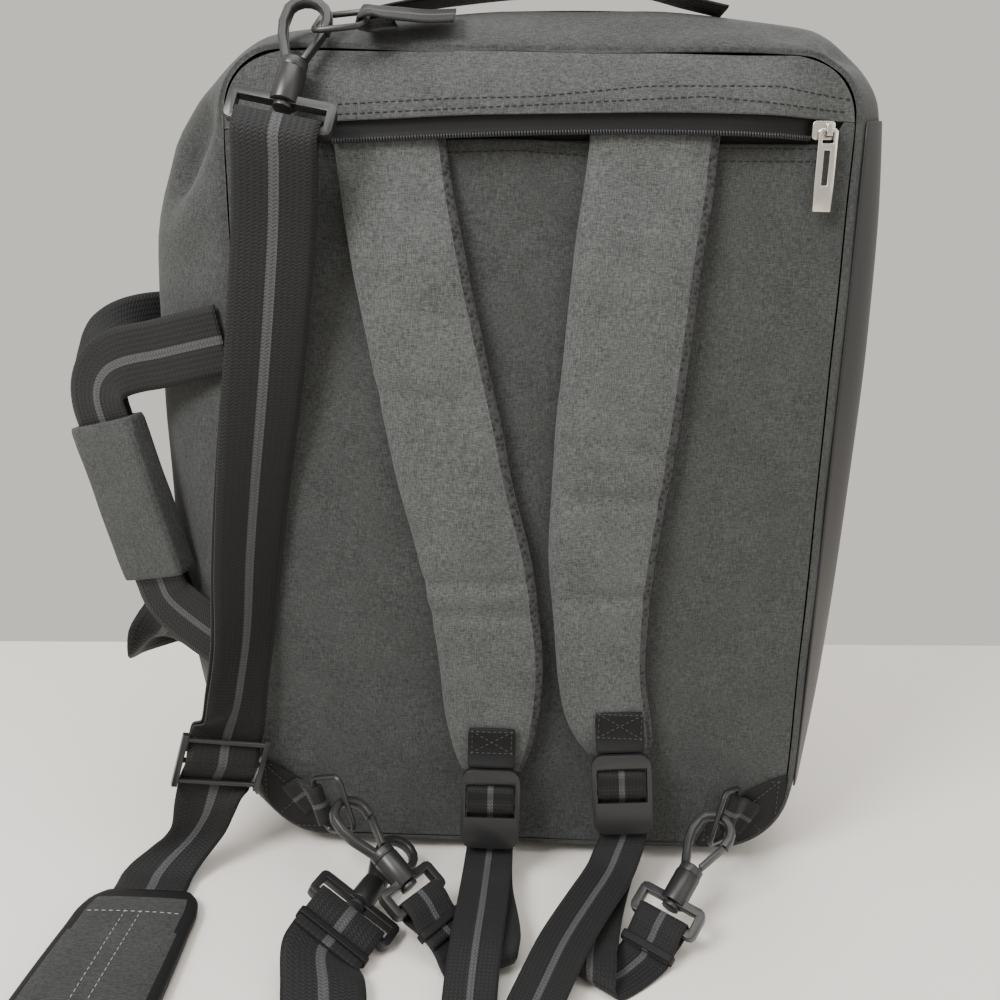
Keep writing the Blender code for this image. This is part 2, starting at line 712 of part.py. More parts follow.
def ladder_lock(name, matrix, finish):
    half = LOCK_WIDTH / 2
    deep = LOCK_DEPTH / 2
    mid = -LOCK_LENGTH / 2
    outline = [(a, mid + b) for a, b in rounded_box(half, LOCK_LENGTH / 2, 0.006, 3)]
    made = prism(name, outline, -deep, deep, finish, lambda a, b, c: (a, c, b))
    inside = half - LOCK_RAIL
    low, high = -LOCK_TOP - LOCK_WINDOW, -LOCK_TOP
    window = prism("window", [(-inside, low), (inside, low), (inside, high), (-inside, high)],
                   -0.02, 0.02, finish, lambda a, b, c: (a, c, b))
    combine(made, window, "DIFFERENCE")
    behind = prism("behind", [(-deep - 0.001, low - 0.03), (deep - LOCK_ROD, low - 0.03),
                              (deep - LOCK_ROD, low + 0.001), (-deep - 0.001, low + 0.001)],
                   -inside + 0.0002, inside - 0.0002, finish, lambda a, b, c: (c, a, b))
    combine(made, behind, "DIFFERENCE")
    for z in lock_rods():
        rod = prism("rod", [(a, b + z) for a, b in circle(LOCK_ROD, 8)], -inside - 0.001, inside + 0.001,
                    finish, lambda a, b, c: (c, a, b))
        combine(made, rod, "UNION")
    made.matrix_world = matrix
    return made


def lock_rods():
    return (-LOCK_TOP - LOCK_WINDOW * 0.27, -LOCK_TOP - LOCK_WINDOW * 0.73)


def lock_weave(matrix):
    """Points of the webbing through a lock: up behind it, over both rods and down again."""
    first, second = lock_rods()
    over = LOCK_ROD + CLEAR + WEB_THICKNESS / 2
    behind = -LOCK_ROD - CLEAR - WEB_THICKNESS / 2 - LAYER_GAP / 2
    low = -LOCK_TOP - LOCK_WINDOW
    layer = WEB_THICKNESS + LAYER_GAP
    local = [(behind - layer, -LOCK_LENGTH - 0.004), (behind - layer, low - 0.004), (behind - layer, second),
             (behind - layer * 0.35, (first + second) / 2), (behind, first),
             (behind * 0.62, first + over * 0.85), (0.0, first + over * 1.12), (over * 0.8, first + over * 0.75),
             (over, first), (over * 0.62, (first + second) / 2), (over, second),
             (over * 0.75, second - over * 0.8), (0.0, second - over * 1.12),
             (behind * 0.8, low - 0.0015), (behind + 0.0002, low - 0.005), (behind + 0.0002, -LOCK_LENGTH - 0.004)]
    return [matrix @ Vector((0, out, up)) for out, up in local]


def pad_tab(name, rows, matrix, finish):
    """Doubled tab sewn on the pad's tip that runs down to the lock."""
    across = matrix.col[0].to_3d()
    up = matrix.col[2].to_3d()
    face = pad_front(rows) - WEB_THICKNESS / 2
    end = matrix @ Vector((0, 0, CLEAR * 2))
    line = [Vector((end.x + up.x * TAB_LENGTH * share, face, end.z + TAB_LENGTH * share)) for share in (1, 0.3)]
    return webbing(name, line + [end], [across] * 3, STRAP_WEB, finish)


# Hook fittings, each in a frame: across, out, along the hook
def fitting_matrix(place, along, across):
    along = unit(along)
    across = Vector(across)
    across = unit(across - across.dot(along) * along)
    out = along.cross(across)
    matrix = Matrix((across, out, along)).transposed().to_4x4()
    matrix.translation = Vector(place)
    return matrix


def hook_base(name, web, matrix, finish):
    """Frame with a webbing slot and the barrel that the hook turns in."""
    deep = FRAME_DEPTH / 2
    half = web / 2 + 0.001 + FRAME_CHEEK
    height = 2 * FRAME_BAR + FRAME_SLOT
    outline = [(a, b - height / 2) for a, b in rounded_box(half, height / 2, 0.003, 2)]
    made = prism(name, outline, -deep, deep, finish, lambda a, b, c: (a, c, b))
    barrel = prism("barrel", circle(BARREL_RADIUS, 12), -FRAME_BAR * 0.9, BARREL_LENGTH, finish)
    combine(made, barrel, "UNION")
    inside = web / 2 + 0.001
    slot = prism("slot", [(-inside, -FRAME_BAR - FRAME_SLOT), (inside, -FRAME_BAR - FRAME_SLOT),
                          (inside, -FRAME_BAR), (-inside, -FRAME_BAR)], -0.01, 0.01, finish,
                 lambda a, b, c: (a, c, b))
    combine(made, slot, "DIFFERENCE")
    bore = prism("bore", circle(BARREL_BORE, 12), -FRAME_BAR - 0.001, BARREL_LENGTH + 0.001, finish)
    combine(made, bore, "DIFFERENCE")
    made.matrix_world = matrix
    return made


def hook_curve():
    """Centre line of the hook's wire from the collar round to its tip."""
    points = [(0.0030, 0.0160), (0.0052, 0.0215), (0.0082, 0.0290), (HOOK_REACH, HOOK_HEIGHT - 0.004)]
    for k in range(1, 8):
        angle = k * math.pi / 8
        points.append((HOOK_REACH * math.cos(angle), HOOK_HEIGHT + HOOK_REACH * math.sin(angle)))
    points.append((-HOOK_REACH, HOOK_HEIGHT))
    points.append((-HOOK_REACH + 0.0004, HOOK_HEIGHT - 0.0050))
    return points


def hook_body(name, matrix, finish):
    """Swivel pin with its head, collar and hooked wire."""
    made = prism(name, circle(PIN_RADIUS, 10), -FRAME_BAR - 0.0015, BARREL_LENGTH + 0.003, finish)
    head = prism("head", circle(PIN_HEAD_RADIUS, 10), -FRAME_BAR - 0.0022, -FRAME_BAR - CLEAR, finish)
    combine(made, head, "UNION")
    collar = prism("collar", circle(COLLAR_RADIUS, 10), BARREL_LENGTH + CLEAR, BARREL_LENGTH + 0.0045, finish)
    combine(made, collar, "UNION")
    path = [Vector((a, 0, b)) for a, b in hook_curve()]
    half, deep = HOOK_WIRE / 2, HOOK_DEPTH / 2
    profile = [(-deep, -half * 0.6), (-deep * 0.6, -half), (deep * 0.6, -half), (deep, -half * 0.6),
               (deep, half * 0.6), (deep * 0.6, half), (-deep * 0.6, half), (-deep, half * 0.6)]
    wire = sweep("wire", path, [(0, 1, 0)] * len(path), profile, finish)
    combine(made, wire, "UNION")
    made.matrix_world = matrix
    return made


def gate_line():
    """Inner end at the collar and outer end at the hook's tip."""
    return (-0.0036, BARREL_LENGTH + 0.0062), (-HOOK_REACH + 0.0006, HOOK_HEIGHT - 0.0056)


def hook_gate(name, matrix, finish):
    """Thin lever between the collar and the tip, about its own pivot."""
    (a0, b0), (a1, b1) = gate_line()
    path = [Vector((0, 0, 0)), Vector((a1 - a0, 0, b1 - b0))]
    half, deep = GATE_WIRE / 2, HOOK_DEPTH * 0.42
    profile = [(-deep, -half), (deep, -half), (deep, half), (-deep, half)]
    made = sweep(name, path, [(0, 1, 0)] * 2, profile, finish)
    made.matrix_world = matrix @ Matrix.Translation((a0, 0, b0))
    return made


def fitting(tag, web, matrix, finishes):
    hook_base(tag + "_base", web, matrix, finishes["plastic"])
    hook_body(tag, matrix, finishes["hook"])
    hook_gate(tag + "_gate", matrix, finishes["hook"])


def slot_wrap(matrix, tail):
    """Webbing round a frame's lower bar: the sewn end below, over the bar and back above it."""
    bar = -FRAME_BAR * 1.5 - FRAME_SLOT
    gap = CLEAR * 2.2 + WEB_THICKNESS / 2
    off, top = FRAME_DEPTH / 2 + gap, FRAME_BAR / 2 + gap
    lay = (WEB_THICKNESS + LAYER_GAP) / 2
    half = [(lay, -tail), (lay, -WRAP_CLOSE), (off * 0.92, -FRAME_BAR), (off, -FRAME_BAR * 0.3),
            (off, FRAME_BAR * 0.42), (off - gap * 0.25, top - gap * 0.25), (off - gap * 1.1, top)]
    if tail < WRAP_CLOSE:
        half = [(off, -tail)] + half[3:]
    local = [(-out, along) for out, along in half] + half[::-1]
    if tail > WRAP_CLOSE:
        local[-1] = (lay, -tail + SEWN_SHORT)
    return [matrix @ Vector((0, out, bar + along)) for out, along in local]


def ring_link(name, centre, long_axis, normal, width, finish):
    """Closed rounded link of wire about a centre."""
    normal = unit(normal)
    long_axis = Vector(long_axis)
    long_axis = unit(long_axis - long_axis.dot(normal) * normal)
    short_axis = normal.cross(long_axis)
    line = rounded_box(RING_LENGTH / 2, width / 2, RING_CORNER, 3)
    centre = Vector(centre)
    count = len(line)
    rings = []
    wire = circle(RING_WIRE / 2, 6)
    points = [centre + long_axis * a + short_axis * b for a, b in line]
    for i, point in enumerate(points):
        along = unit(points[(i + 1) % count] - points[i - 1])
        side = along.cross(normal)
        rings.append([point + side * a + normal * b for a, b in wire])
    verts = [v for ring in rings for v in ring]
    sides = len(wire)
    faces = []
    for i in range(count):
        for j in range(sides):
            a, b = i * sides + j, i * sides + (j + 1) % sides
            c, d = (i + 1) % count * sides + j, (i + 1) % count * sides + (j + 1) % sides
            faces.append((a, b, d, c))
    made = mesh_object(name, verts, faces, finish, math.radians(50))
    face_outward(made)
    return made


def loop_tab(name, bar, bar_direction, inner, root, root_end, root_across, finish):
    """Webbing sewn down at its root, round a ring's bar and back beside itself."""
    inner, bar_direction = unit(inner), unit(bar_direction)
    if bar_direction.dot(Vector(root_across)) < 0:
        bar_direction = -bar_direction
    off = RING_WIRE / 2 + CLEAR * 3 + WEB_THICKNESS / 2
    side = unit(bar_direction.cross(inner))
    lay = (WEB_THICKNESS + LAYER_GAP) / 2
    bar, root, root_end = Vector(bar), Vector(root), Vector(root_end)
    flat = unit(unit(root_end - root).cross(unit(root_across)))
    sides = []
    for way in (1, -1):
        part = [(root_end + flat * lay, Vector(root_across))] if way == 1 else []
        for k in range(0 if way == 1 else 2, TAB_STEPS):
            share = k / TAB_STEPS
            at = (root + flat * lay * way).lerp(bar + side * off * way, share)
            part.append((at, Vector(root_across).lerp(bar_direction, share)))
        sides.append(part)
    turn = [(bar + (side * math.cos(k * math.pi / 4) + inner * math.sin(k * math.pi / 4)) * off * 1.04,
             bar_direction) for k in range(5)]
    line = sides[0] + turn + sides[1][::-1]
    return webbing(name, [at for at, _ in line], [across for _, across in line], TAB_WEB, finish)


def sleeve(name, place, along, across, width, depth, wall, length, finish):
    """Short band round webbing: a rectangular tube."""
    matrix = fitting_matrix(place, along, across)
    outer = rounded_box(width / 2 + wall, depth / 2 + wall, wall, 1)
    made = prism(name, outer, -length / 2, length / 2, finish)
    hole = prism("hole", [(-width / 2, -depth / 2), (width / 2, -depth / 2), (width / 2, depth / 2),
                          (-width / 2, depth / 2)], -length, length, finish)
    combine(made, hole, "DIFFERENCE")
    made.matrix_world = matrix
    return made


def corner_patch(name, side, finish):
    """Patch over a lower corner of the panel: the corner's arc and a concave inner edge."""
    reach = BOTTOM_RADIUS * 1.22
    gap = PATCH_GAP
    inner_edge = HALF_WIDTH - gap
    outline = []
    centre_x, centre_z = HALF_WIDTH - BOTTOM_RADIUS, PANEL_LIFT + BOTTOM_RADIUS
    for k in range(7):
        angle = -math.pi / 2 + k * math.pi / 12
        outline.append((centre_x + (BOTTOM_RADIUS - gap) * math.cos(angle),
                        centre_z + (BOTTOM_RADIUS - gap) * math.sin(angle)))
    outline.append((inner_edge, PANEL_LIFT + reach))
    outline.append((inner_edge - reach * 0.22, PANEL_LIFT + reach * 0.92))
    outline.append((inner_edge - reach * 0.70, PANEL_LIFT + reach * 0.62))
    outline.append((inner_edge - reach * 0.95, PANEL_LIFT + reach * 0.18))
    outline.append((inner_edge - reach, PANEL_LIFT + gap))
    rings = []
    for depth in (gap, gap + PATCH_THICKNESS):
        rings.append([Vector((side * x, panel_face(x, z) - depth, z)) for x, z in outline])
    return loft(name, rings, finish, None)


# Straps on the floor: share of HALF_WIDTH to the right, share of TAIL_REACH in front of the panel,
# height in webbing thicknesses, turn of the width direction in degrees
LEFT_LOOP = [(-0.165, 0.610, 1.0, 218), (-0.105, 0.638, 1.4, 214), (-0.076, 0.652, 4.0, 208),
             (-0.066, 0.634, 7.6, 203), (-0.068, 0.533, 9.9, 192), (-0.095, 0.347, 8.8, 185),
             (-0.104, 0.200, 7.9, 180)]
LEFT_TAIL = [(-0.108, 0.230, 11.0, 180), (-0.110, 0.330, 12.4, 180), (-0.115, 0.467, 12.9, 180),
             (-0.124, 0.613, 11.4, 180), (-0.132, 0.733, 6.5, 180), (-0.134, 0.833, 2.0, 180),
             (-0.131, 0.913, 0.95, 180), (-0.128, 1.0, 0.90, 180)]
RIGHT_LOOP = [(0.355, 0.610, 0.90, 127), (0.300, 0.650, 1.0, 132), (0.262, 0.672, 1.9, 142),
              (0.245, 0.672, 4.2, 150), (0.243, 0.650, 5.9, 156), (0.258, 0.533, 6.6, 166),
              (0.290, 0.367, 7.2, 170), (0.328, 0.227, 8.2, 176)]
RIGHT_TAIL = [(0.335, 0.250, 13.8, 174), (0.276, 0.360, 12.14, 162), (0.214, 0.480, 11.43, 157),
              (0.155, 0.607, 11.0, 155), (0.103, 0.727, 8.6, 155), (0.062, 0.820, 6.1, 156),
              (0.031, 0.900, 4.3, 158), (0.0, 0.987, 3.4, 160)]
# Sling strap down the left edge: share of HALF_WIDTH, share of TAIL_REACH in front of the panel, share of
# the height from the floor to PANEL_TOP, turn and tilt of the width direction in degrees
SLING_DROP = [(-0.783, 0.200, 0.880, 180, 8), (-0.807, 0.150, 0.817, 182, 5), (-0.841, 0.120, 0.733, 188, 2),
              (-0.886, 0.103, 0.625, 200, 0), (-0.928, 0.100, 0.524, 213, -4), (-0.962, 0.103, 0.425, 221, -8),
              (-0.990, 0.110, 0.322, 229, -12), (-1.028, 0.119, 0.240, 220, -20)]
SLIDER_ROW = (-1.092, 0.130, 0.151, 202, -26)
SLING_FALL = [(-1.150, 0.150, 0.085, 195, -16), (-1.214, 0.173, 0.048, 188, -8), (-1.283, 0.213, 0.024, 183, -2),
              (-1.310, 0.262, 0.0135, 180, 0)]
# Sling strap from its pad round to the free hook, resting on the floor: share of HALF_WIDTH, share of
# TAIL_REACH, tilt of the width direction in degrees as it turns on its edge, lift in webbing thicknesses
SLING_RETURN = [(-1.325, 2.030, 14, 1.2), (-1.328, 2.140, 40, 1.0), (-1.303, 2.253, 66, 0.4),
                (-1.214, 2.393, 88, 0),
                (-1.062, 2.480, 90, 0), (-0.883, 2.467, 90, 0), (-0.724, 2.373, 92, 0), (-0.634, 2.213, 115, 0.4),
                (-0.600, 2.047, 144, 0.8), (-0.586, 1.867, 170, 1.0), (-0.579, 1.680, 180, 0.2),
                (-0.559, 1.300, 180, 0), (-0.552, 1.000, 180, 0.3), (-0.570, 0.860, 180, 2.6)]
# Side handle: share of HALF_WIDTH, share of BAG_DEPTH behind the panel, share of PANEL_HEIGHT, turn of the
# width direction in degrees from down, through right, to up
HANDLE_BACK = [(-1.034, -0.028, 0.676, 14), (-1.159, 0.000, 0.665, 14), (-1.290, 0.050, 0.653, 14),
               (-1.417, 0.094, 0.642, 14), (-1.467, 0.113, 0.633, 37), (-1.503, 0.125, 0.619, 60),
               (-1.521, 0.131, 0.600, 83), (-1.517, 0.131, 0.581, 105), (-1.510, 0.131, 0.571, 105),
               (-1.428, 0.131, 0.463, 105), (-1.349, 0.131, 0.357, 105), (-1.341, 0.131, 0.347, 105),
               (-1.328, 0.125, 0.335, 120), (-1.306, 0.116, 0.325, 135), (-1.277, 0.100, 0.317, 150),
               (-1.159, 0.025, 0.293, 150), (-1.034, -0.028, 0.267, 150)]
HANDLE_FRONT = [(-1.045, 1.075, 0.672, 0), (-1.179, 1.060, 0.675, 0), (-1.345, 0.920, 0.677, 0),
                (-1.441, 0.700, 0.676, 18), (-1.483, 0.500, 0.672, 48), (-1.503, 0.350, 0.665, 80),
                (-1.521, 0.250, 0.645, 97), (-1.526, 0.206, 0.616, 104), (-1.517, 0.200, 0.581, 105),
                (-1.510, 0.200, 0.571, 105), (-1.428, 0.200, 0.463, 105), (-1.349, 0.200, 0.357, 105),
                (-1.341, 0.200, 0.347, 105), (-1.326, 0.200, 0.325, 105), (-1.332, 0.194, 0.300, 104),
                (-1.372, 0.244, 0.273, 106), (-1.438, 0.350, 0.254, 120), (-1.476, 0.550, 0.248, 148),
                (-1.448, 0.762, 0.249, 175), (-1.345, 0.944, 0.256, 180), (-1.179, 1.060, 0.262, 180),
                (-1.045, 1.075, 0.264, 180)]
# Width direction of the handle in its grip
GRIP_ACROSS = Vector((0.94, -0.35, 0))
# Top handle lying along the top: share of HALF_WIDTH, lift in webbing thicknesses
TOP_HANDLE = [(-0.58, 0.1), (-0.46, 1.6), (-0.25, 3.0), (0.0, 4.2), (0.20, 4.6), (0.36, 4.0), (0.46, 2.2),
              (0.60, 0.1)]


def width_direction(turn, tilt=0.0):
    turn, tilt = math.radians(turn), math.radians(tilt)
    return Vector((math.cos(turn) * math.cos(tilt), math.sin(turn) * math.cos(tilt), math.sin(tilt)))


# Share of level travel above which a strap lies flat on its way
LEVEL_WAY = 0.93


def floor_line(rows):
    """Points and level width directions, square to the strap's way over the floor."""
    points = [Vector((right * HALF_WIDTH, BACK_Y - reach * TAIL_REACH, high * WEB_THICKNESS))
              for right, reach, high, _ in rows]
    widths = []
    for i, row in enumerate(rows):
        width = width_direction(row[3])
        way = unit(points[min(i + 1, len(rows) - 1)] - points[max(i - 1, 0)])
        level = Vector((way.x, way.y, 0))
        if level.length > LEVEL_WAY:
            level.normalize()
            width -= level * width.dot(level)
        widths.append(unit(width))
    return points, widths


def drop_line(rows):
    points = [Vector((right * HALF_WIDTH, BACK_Y - reach * TAIL_REACH, up * PANEL_TOP))
              for right, reach, up, _, _ in rows]
    return points, [width_direction(row[3], row[4]) for row in rows]


def return_line(rows):
    """The strap rests on the floor on whatever edge its tilt puts lowest."""
    points, widths = [], []
    for right, reach, tilt, lift in rows:
        low = abs(math.sin(math.radians(tilt))) * SLING_WEB / 2 + WEB_THICKNESS * (0.75 + lift)
        points.append(Vector((right * HALF_WIDTH, BACK_Y - reach * TAIL_REACH, low)))
        widths.append(width_direction(0, tilt))
    return points, widths


def eased(points, widths, steps=2):
    """Smooth curve through points and their width directions."""
    rows = [(*p, *w) for p, w in zip(points, widths)]
    line = curve_through(rows, steps)
    return [Vector(row[:3]) for row in line], [Vector(row[3:]) for row in line]


def rested(path, widths, width):
    """Points raised wherever an edge of the webbing would pass through the floor."""
    line = []
    for point, across in zip(path, widths):
        low = abs(unit(across).z) * width / 2 + WEB_THICKNESS / 2 + CLEAR
        line.append(Vector((point.x, point.y, max(point.z, low))))
    return line


# Places of the hook fittings: centre of the frame's top bar, direction of the hook, width direction
def place(right, reach, up):
    return Vector((right * HALF_WIDTH, BACK_Y - reach * TAIL_REACH, up * PANEL_TOP))


LEFT_FITTING = fitting_matrix(place(-0.390, 0.420, 0.0673), (-0.70, 0.50, 0.50), (-0.58, -0.81, 0.0))
RIGHT_FITTING = fitting_matrix(place(0.545, 0.400, 0.0500), (0.525, 0.69, 0.47), (-0.84, 0.54, 0.08))
FREE_FITTING = fitting_matrix(place(-0.531, 0.427, 0.0361), (0.32, 0.947, 0.0), (-0.835, 0.282, 0.472))
TOP_FITTING = fitting_matrix(place(-0.759, 0.140, 0.9447), (0.16, 0.48, 0.86), (-0.99, 0.0, 0.14))


def strap(name, fitting_frame, tail, loop, lock, tail_rows, finish):
    """One webbing: sewn round a hook's frame, along the floor, through the lock and on to its free end."""
    across = fitting_frame.col[0].to_3d()
    path = slot_wrap(fitting_frame, tail)[::-1]
    widths = [across] * len(path)
    points, turns = floor_line(loop)
    weave = lock_weave(lock)
    lock_across = lock.col[0].to_3d()
    middle, middle_widths = eased([path[-1]] + points + [weave[0]], [across] + turns + [lock_across])
    free, free_widths = floor_line(tail_rows)
    end, end_widths = eased([weave[-1]] + free, [lock_across] + free_widths)
    path += middle[1:-1] + weave + end[1:]
    widths += middle_widths[1:-1] + [lock_across] * len(weave) + end_widths[1:]
    return webbing(name, rested(path, widths, STRAP_WEB), widths, STRAP_WEB, finish, square=False)


def slider_frame():
    (centre,), (across,) = drop_line([SLIDER_ROW])
    above, below = drop_line([SLING_DROP[-1]])[0][0], drop_line([SLING_FALL[0]])[0][0]
    return fitting_matrix(centre, above - below, across)


def sling_slider(finish):
    """Slider with three round bars between two cheeks."""
    half = SLING_WEB / 2 + 0.001
    made = None
    for side in (-1, 1):
        low, high = sorted((side * half, side * (half + SLIDER_CHEEK)))
        cheek = prism("sling_slider", [(low, -SLIDER_REACH - 0.003), (high, -SLIDER_REACH - 0.003),
                                       (high, SLIDER_REACH + 0.003), (low, SLIDER_REACH + 0.003)],
                      -SLIDER_BAR * 1.3, SLIDER_BAR * 1.3, finish, lambda a, b, c: (a, c, b))
        made = cheek if made is None else combine(made, cheek, "UNION")
    for z in (-SLIDER_REACH, 0.0, SLIDER_REACH):
        bar = prism("bar", [(a, b + z) for a, b in circle(SLIDER_BAR, 8)], -half - 0.001, half + 0.001,
                    finish, lambda a, b, c: (c, a, b))
        combine(made, bar, "UNION")
    made.name = "sling_slider"
    made.matrix_world = slider_frame()
    return made


def sling_strap_front(finish):
    """Webbing sewn behind the slider, up to the top hook, down through the slider and on to the pad."""
    frame = slider_frame()
    slider_across = frame.col[0].to_3d()
    off = SLIDER_BAR + CLEAR + WEB_THICKNESS / 2 + 0.0003
    layer = WEB_THICKNESS + SLING_LAYER_GAP
    centre, turns = drop_line(SLING_DROP)
    centre, turns = eased(centre, turns, 3)
    normals = []
    for i in range(len(centre)):
        ahead = centre[min(i + 1, len(centre) - 1)] - centre[max(i - 1, 0)]
        normals.append(-unit(ahead.cross(turns[i])))
    front = [p + n * layer / 2 for p, n in zip(centre, normals)]
    back = [p - n * layer / 2 for p, n in zip(centre, normals)]
    sewn = [(-off - layer, SLIDER_REACH * 0.15), (-off - layer, SLIDER_REACH), (-off - layer, SLIDER_REACH * 1.3)]
    through = [(-off, SLIDER_REACH * 1.3), (-off, SLIDER_REACH), (0.0, SLIDER_REACH * 0.5), (off, 0.0),
               (0.0, -SLIDER_REACH * 0.5), (-off, -SLIDER_REACH), (-off, -SLIDER_REACH * 1.3)]
    sewn = [frame @ Vector((0, out, up)) for out, up in sewn]
    through = [frame @ Vector((0, out, up)) for out, up in through]
    wrap = slot_wrap(TOP_FITTING, 0.004)
    fall, fall_turns = drop_line(SLING_FALL)
    start, middle = sling_pad_start(), CLEAR + SLING_PAD_THICKNESS / 2
    ends = [Vector((fall[-1].x, start + gap, middle)) for gap in (SLING_STUB, CLEAR * 3)]
    fall, fall_turns = eased([through[-1]] + fall + ends, [slider_across] + fall_turns + [fall_turns[-1]] * 2)
    path = sewn + back[::-1] + wrap + front + through + fall[1:]
    turns = [unit(w - w.dot(n) * n) for w, n in zip(turns, normals)]
    widths = ([slider_across] * len(sewn) + turns[::-1] + [TOP_FITTING.col[0].to_3d()] * len(wrap) + turns
              + [slider_across] * len(through) + fall_turns[1:])
    return webbing("sling_strap_front", path, widths, SLING_WEB, finish, square=False)


def sling_pad_start():
    return BACK_Y - SLING_FALL[-1][1] * TAIL_REACH - SLING_STUB * 2


def sling_pad(finish):
    """Padded sleeve on the floor, rounded at both ends."""
    x = SLING_FALL[-1][0] * HALF_WIDTH
    start = sling_pad_start()
    half, deep = SLING_PAD_WIDTH / 2, SLING_PAD_THICKNESS / 2
    rings = []
    for share, wide, thick in ((0.0, 0.72, 0.45), (0.02, 0.86, 0.62), (0.06, 0.97, 0.85), (0.12, 1.0, 1.0),
                               (0.3, 1.0, 1.0), (0.5, 1.0, 1.0), (0.7, 1.0, 1.0), (0.88, 1.0, 1.0),
                               (0.94, 0.97, 0.85), (0.98, 0.86, 0.62), (1.0, 0.72, 0.45)):
        y = start - share * SLING_PAD_LENGTH
        w, t = half * wide, deep * thick
        edge = min(w * 0.3, 0.005)
        outline = [(-w, 0), (-w + edge, -t * 0.8), (-w * 0.4, -t), (w * 0.4, -t), (w - edge, -t * 0.8), (w, 0),
                   (w - edge, t * 0.8), (w * 0.4, t), (-w * 0.4, t), (-w + edge, t * 0.8)]
        rings.append([Vector((x + a, y, CLEAR + deep + b)) for a, b in outline])
    return loft("sling_pad", rings, finish)


def sling_strap_back(finish):
    """Webbing from the pad's far end round to the free hook."""
    x = SLING_FALL[-1][0] * HALF_WIDTH
    middle = CLEAR + SLING_PAD_THICKNESS / 2
    end = sling_pad_start() - SLING_PAD_LENGTH
    first = [Vector((x, end - gap, middle)) for gap in (CLEAR * 3, SLING_STUB)]
    points, turns = return_line(SLING_RETURN)
    wrap = slot_wrap(FREE_FITTING, 0.024)
    across = FREE_FITTING.col[0].to_3d()
    line, widths = eased(first + points + [wrap[0]], [Vector((1, 0, 0))] * 2 + turns + [across])
    line = line[:-1] + wrap
    widths = widths[:-1] + [across] * len(wrap)
    return webbing("sling_strap_back", rested(line, widths, SLING_WEB), widths, SLING_WEB, finish)


def keeper(name, fitting_frame, web, finish):
    """Elastic band round the doubled webbing beside a hook's frame."""
    bar = -FRAME_BAR * 1.5 - FRAME_SLOT
    centre = fitting_frame @ Vector((0, 0, bar - KEEPER_PLACE))
    depth = 2 * WEB_THICKNESS + LAYER_GAP + 2 * CLEAR
    return sleeve(name, centre, fitting_frame.col[2].to_3d(), fitting_frame.col[0].to_3d(),
                  web + 2 * CLEAR, depth, KEEPER_WALL, KEEPER_LENGTH, finish)


# Handles
def handle_line(rows):
    points, widths = [], []
    for right, deep, up, turn in rows:
        points.append(Vector((right * HALF_WIDTH, BACK_Y + deep * BAG_DEPTH, PANEL_LIFT + up * PANEL_HEIGHT)))
        turn = math.radians(turn)
        widths.append(Vector((0, 0, -1)) * math.cos(turn) + GRIP_ACROSS * math.sin(turn))
    return points, widths


def side_handle(name, rows, finish):
    """Webbing loop that faces the back along its grip; the front one turns in from the side to meet it."""
    line, widths = eased(*handle_line(rows))
    return webbing(name, line, widths, HANDLE_WEB, finish)


def side_handle_grip(finish):
    """Wrap round both handles."""
    back, _ = handle_line(HANDLE_BACK[8:11])
    front, _ = handle_line(HANDLE_FRONT[9:12])
    along = unit(back[0] - back[2])
    depth = abs(front[1].y - back[1].y) + WEB_THICKNESS + 12 * CLEAR
    return sleeve("side_handle_grip", (back[1] + front[1]) / 2, along, GRIP_ACROSS,
                  HANDLE_WEB + 12 * CLEAR, depth, GRIP_WALL, GRIP_LENGTH, finish)


def top_handle(finish):
    points = []
    for right, lift in TOP_HANDLE:
        x = right * HALF_WIDTH
        z = PANEL_TOP + CLOTH + TOP_BULGE * table(TOP_ROWS, right) + CLEAR + WEB_THICKNESS * (0.5 + lift)
        points.append(Vector((x, BACK_Y + BAG_DEPTH * TOP_HANDLE_DEPTH, z)))
    line = [Vector(row) for row in curve_through(points, 2)]
    return webbing("top_handle", line, [Vector((0, 1, 0))] * len(line), STRAP_WEB, finish)


# Rings and their loops
def wired_ring(tag, wire, toward, normal, finishes, root, root_end, root_across):
    """Ring round the hook's wire, and the webbing loop that ties it to the bag."""
    normal = unit(normal)
    toward = Vector(toward)
    toward = unit(toward - toward.dot(normal) * normal)
    centre = wire + toward * (RING_LENGTH / 2 - RING_WIRE / 2 - HOOK_DEPTH / 2 - CLEAR * 2)
    ring_link(tag + "_ring", centre, toward, normal, TAB_WEB + 2 * RING_WIRE + 0.003, finishes["plastic"])
    loop_tab(tag + "_loop", centre + toward * RING_LENGTH / 2, normal.cross(toward), -toward, root, root_end,
             root_across, finishes["webbing"])


def corner_link(side, fitting_frame, toward, root, root_end, root_across, finishes):
    """Ring and loop of a lower corner; the loop is sewn on the corner patch."""
    curl = fitting_frame @ Vector((0, 0, HOOK_HEIGHT + HOOK_REACH))
    lay = BACK_Y - PATCH_GAP - PATCH_THICKNESS - WEB_THICKNESS * 1.5 - LAYER_GAP / 2
    ends = [Vector((share * HALF_WIDTH, lay, PANEL_LIFT + lift * BOTTOM_RADIUS)) for share, lift in (root, root_end)]
    wired_ring("corner_" + side, curl, toward, fitting_frame.col[0].to_3d(), finishes, *ends, root_across)


def top_surface(x, y):
    across = x / HALF_WIDTH
    return PANEL_TOP + CLOTH + TOP_BULGE * table(TOP_ROWS, across) * depth_share(y)


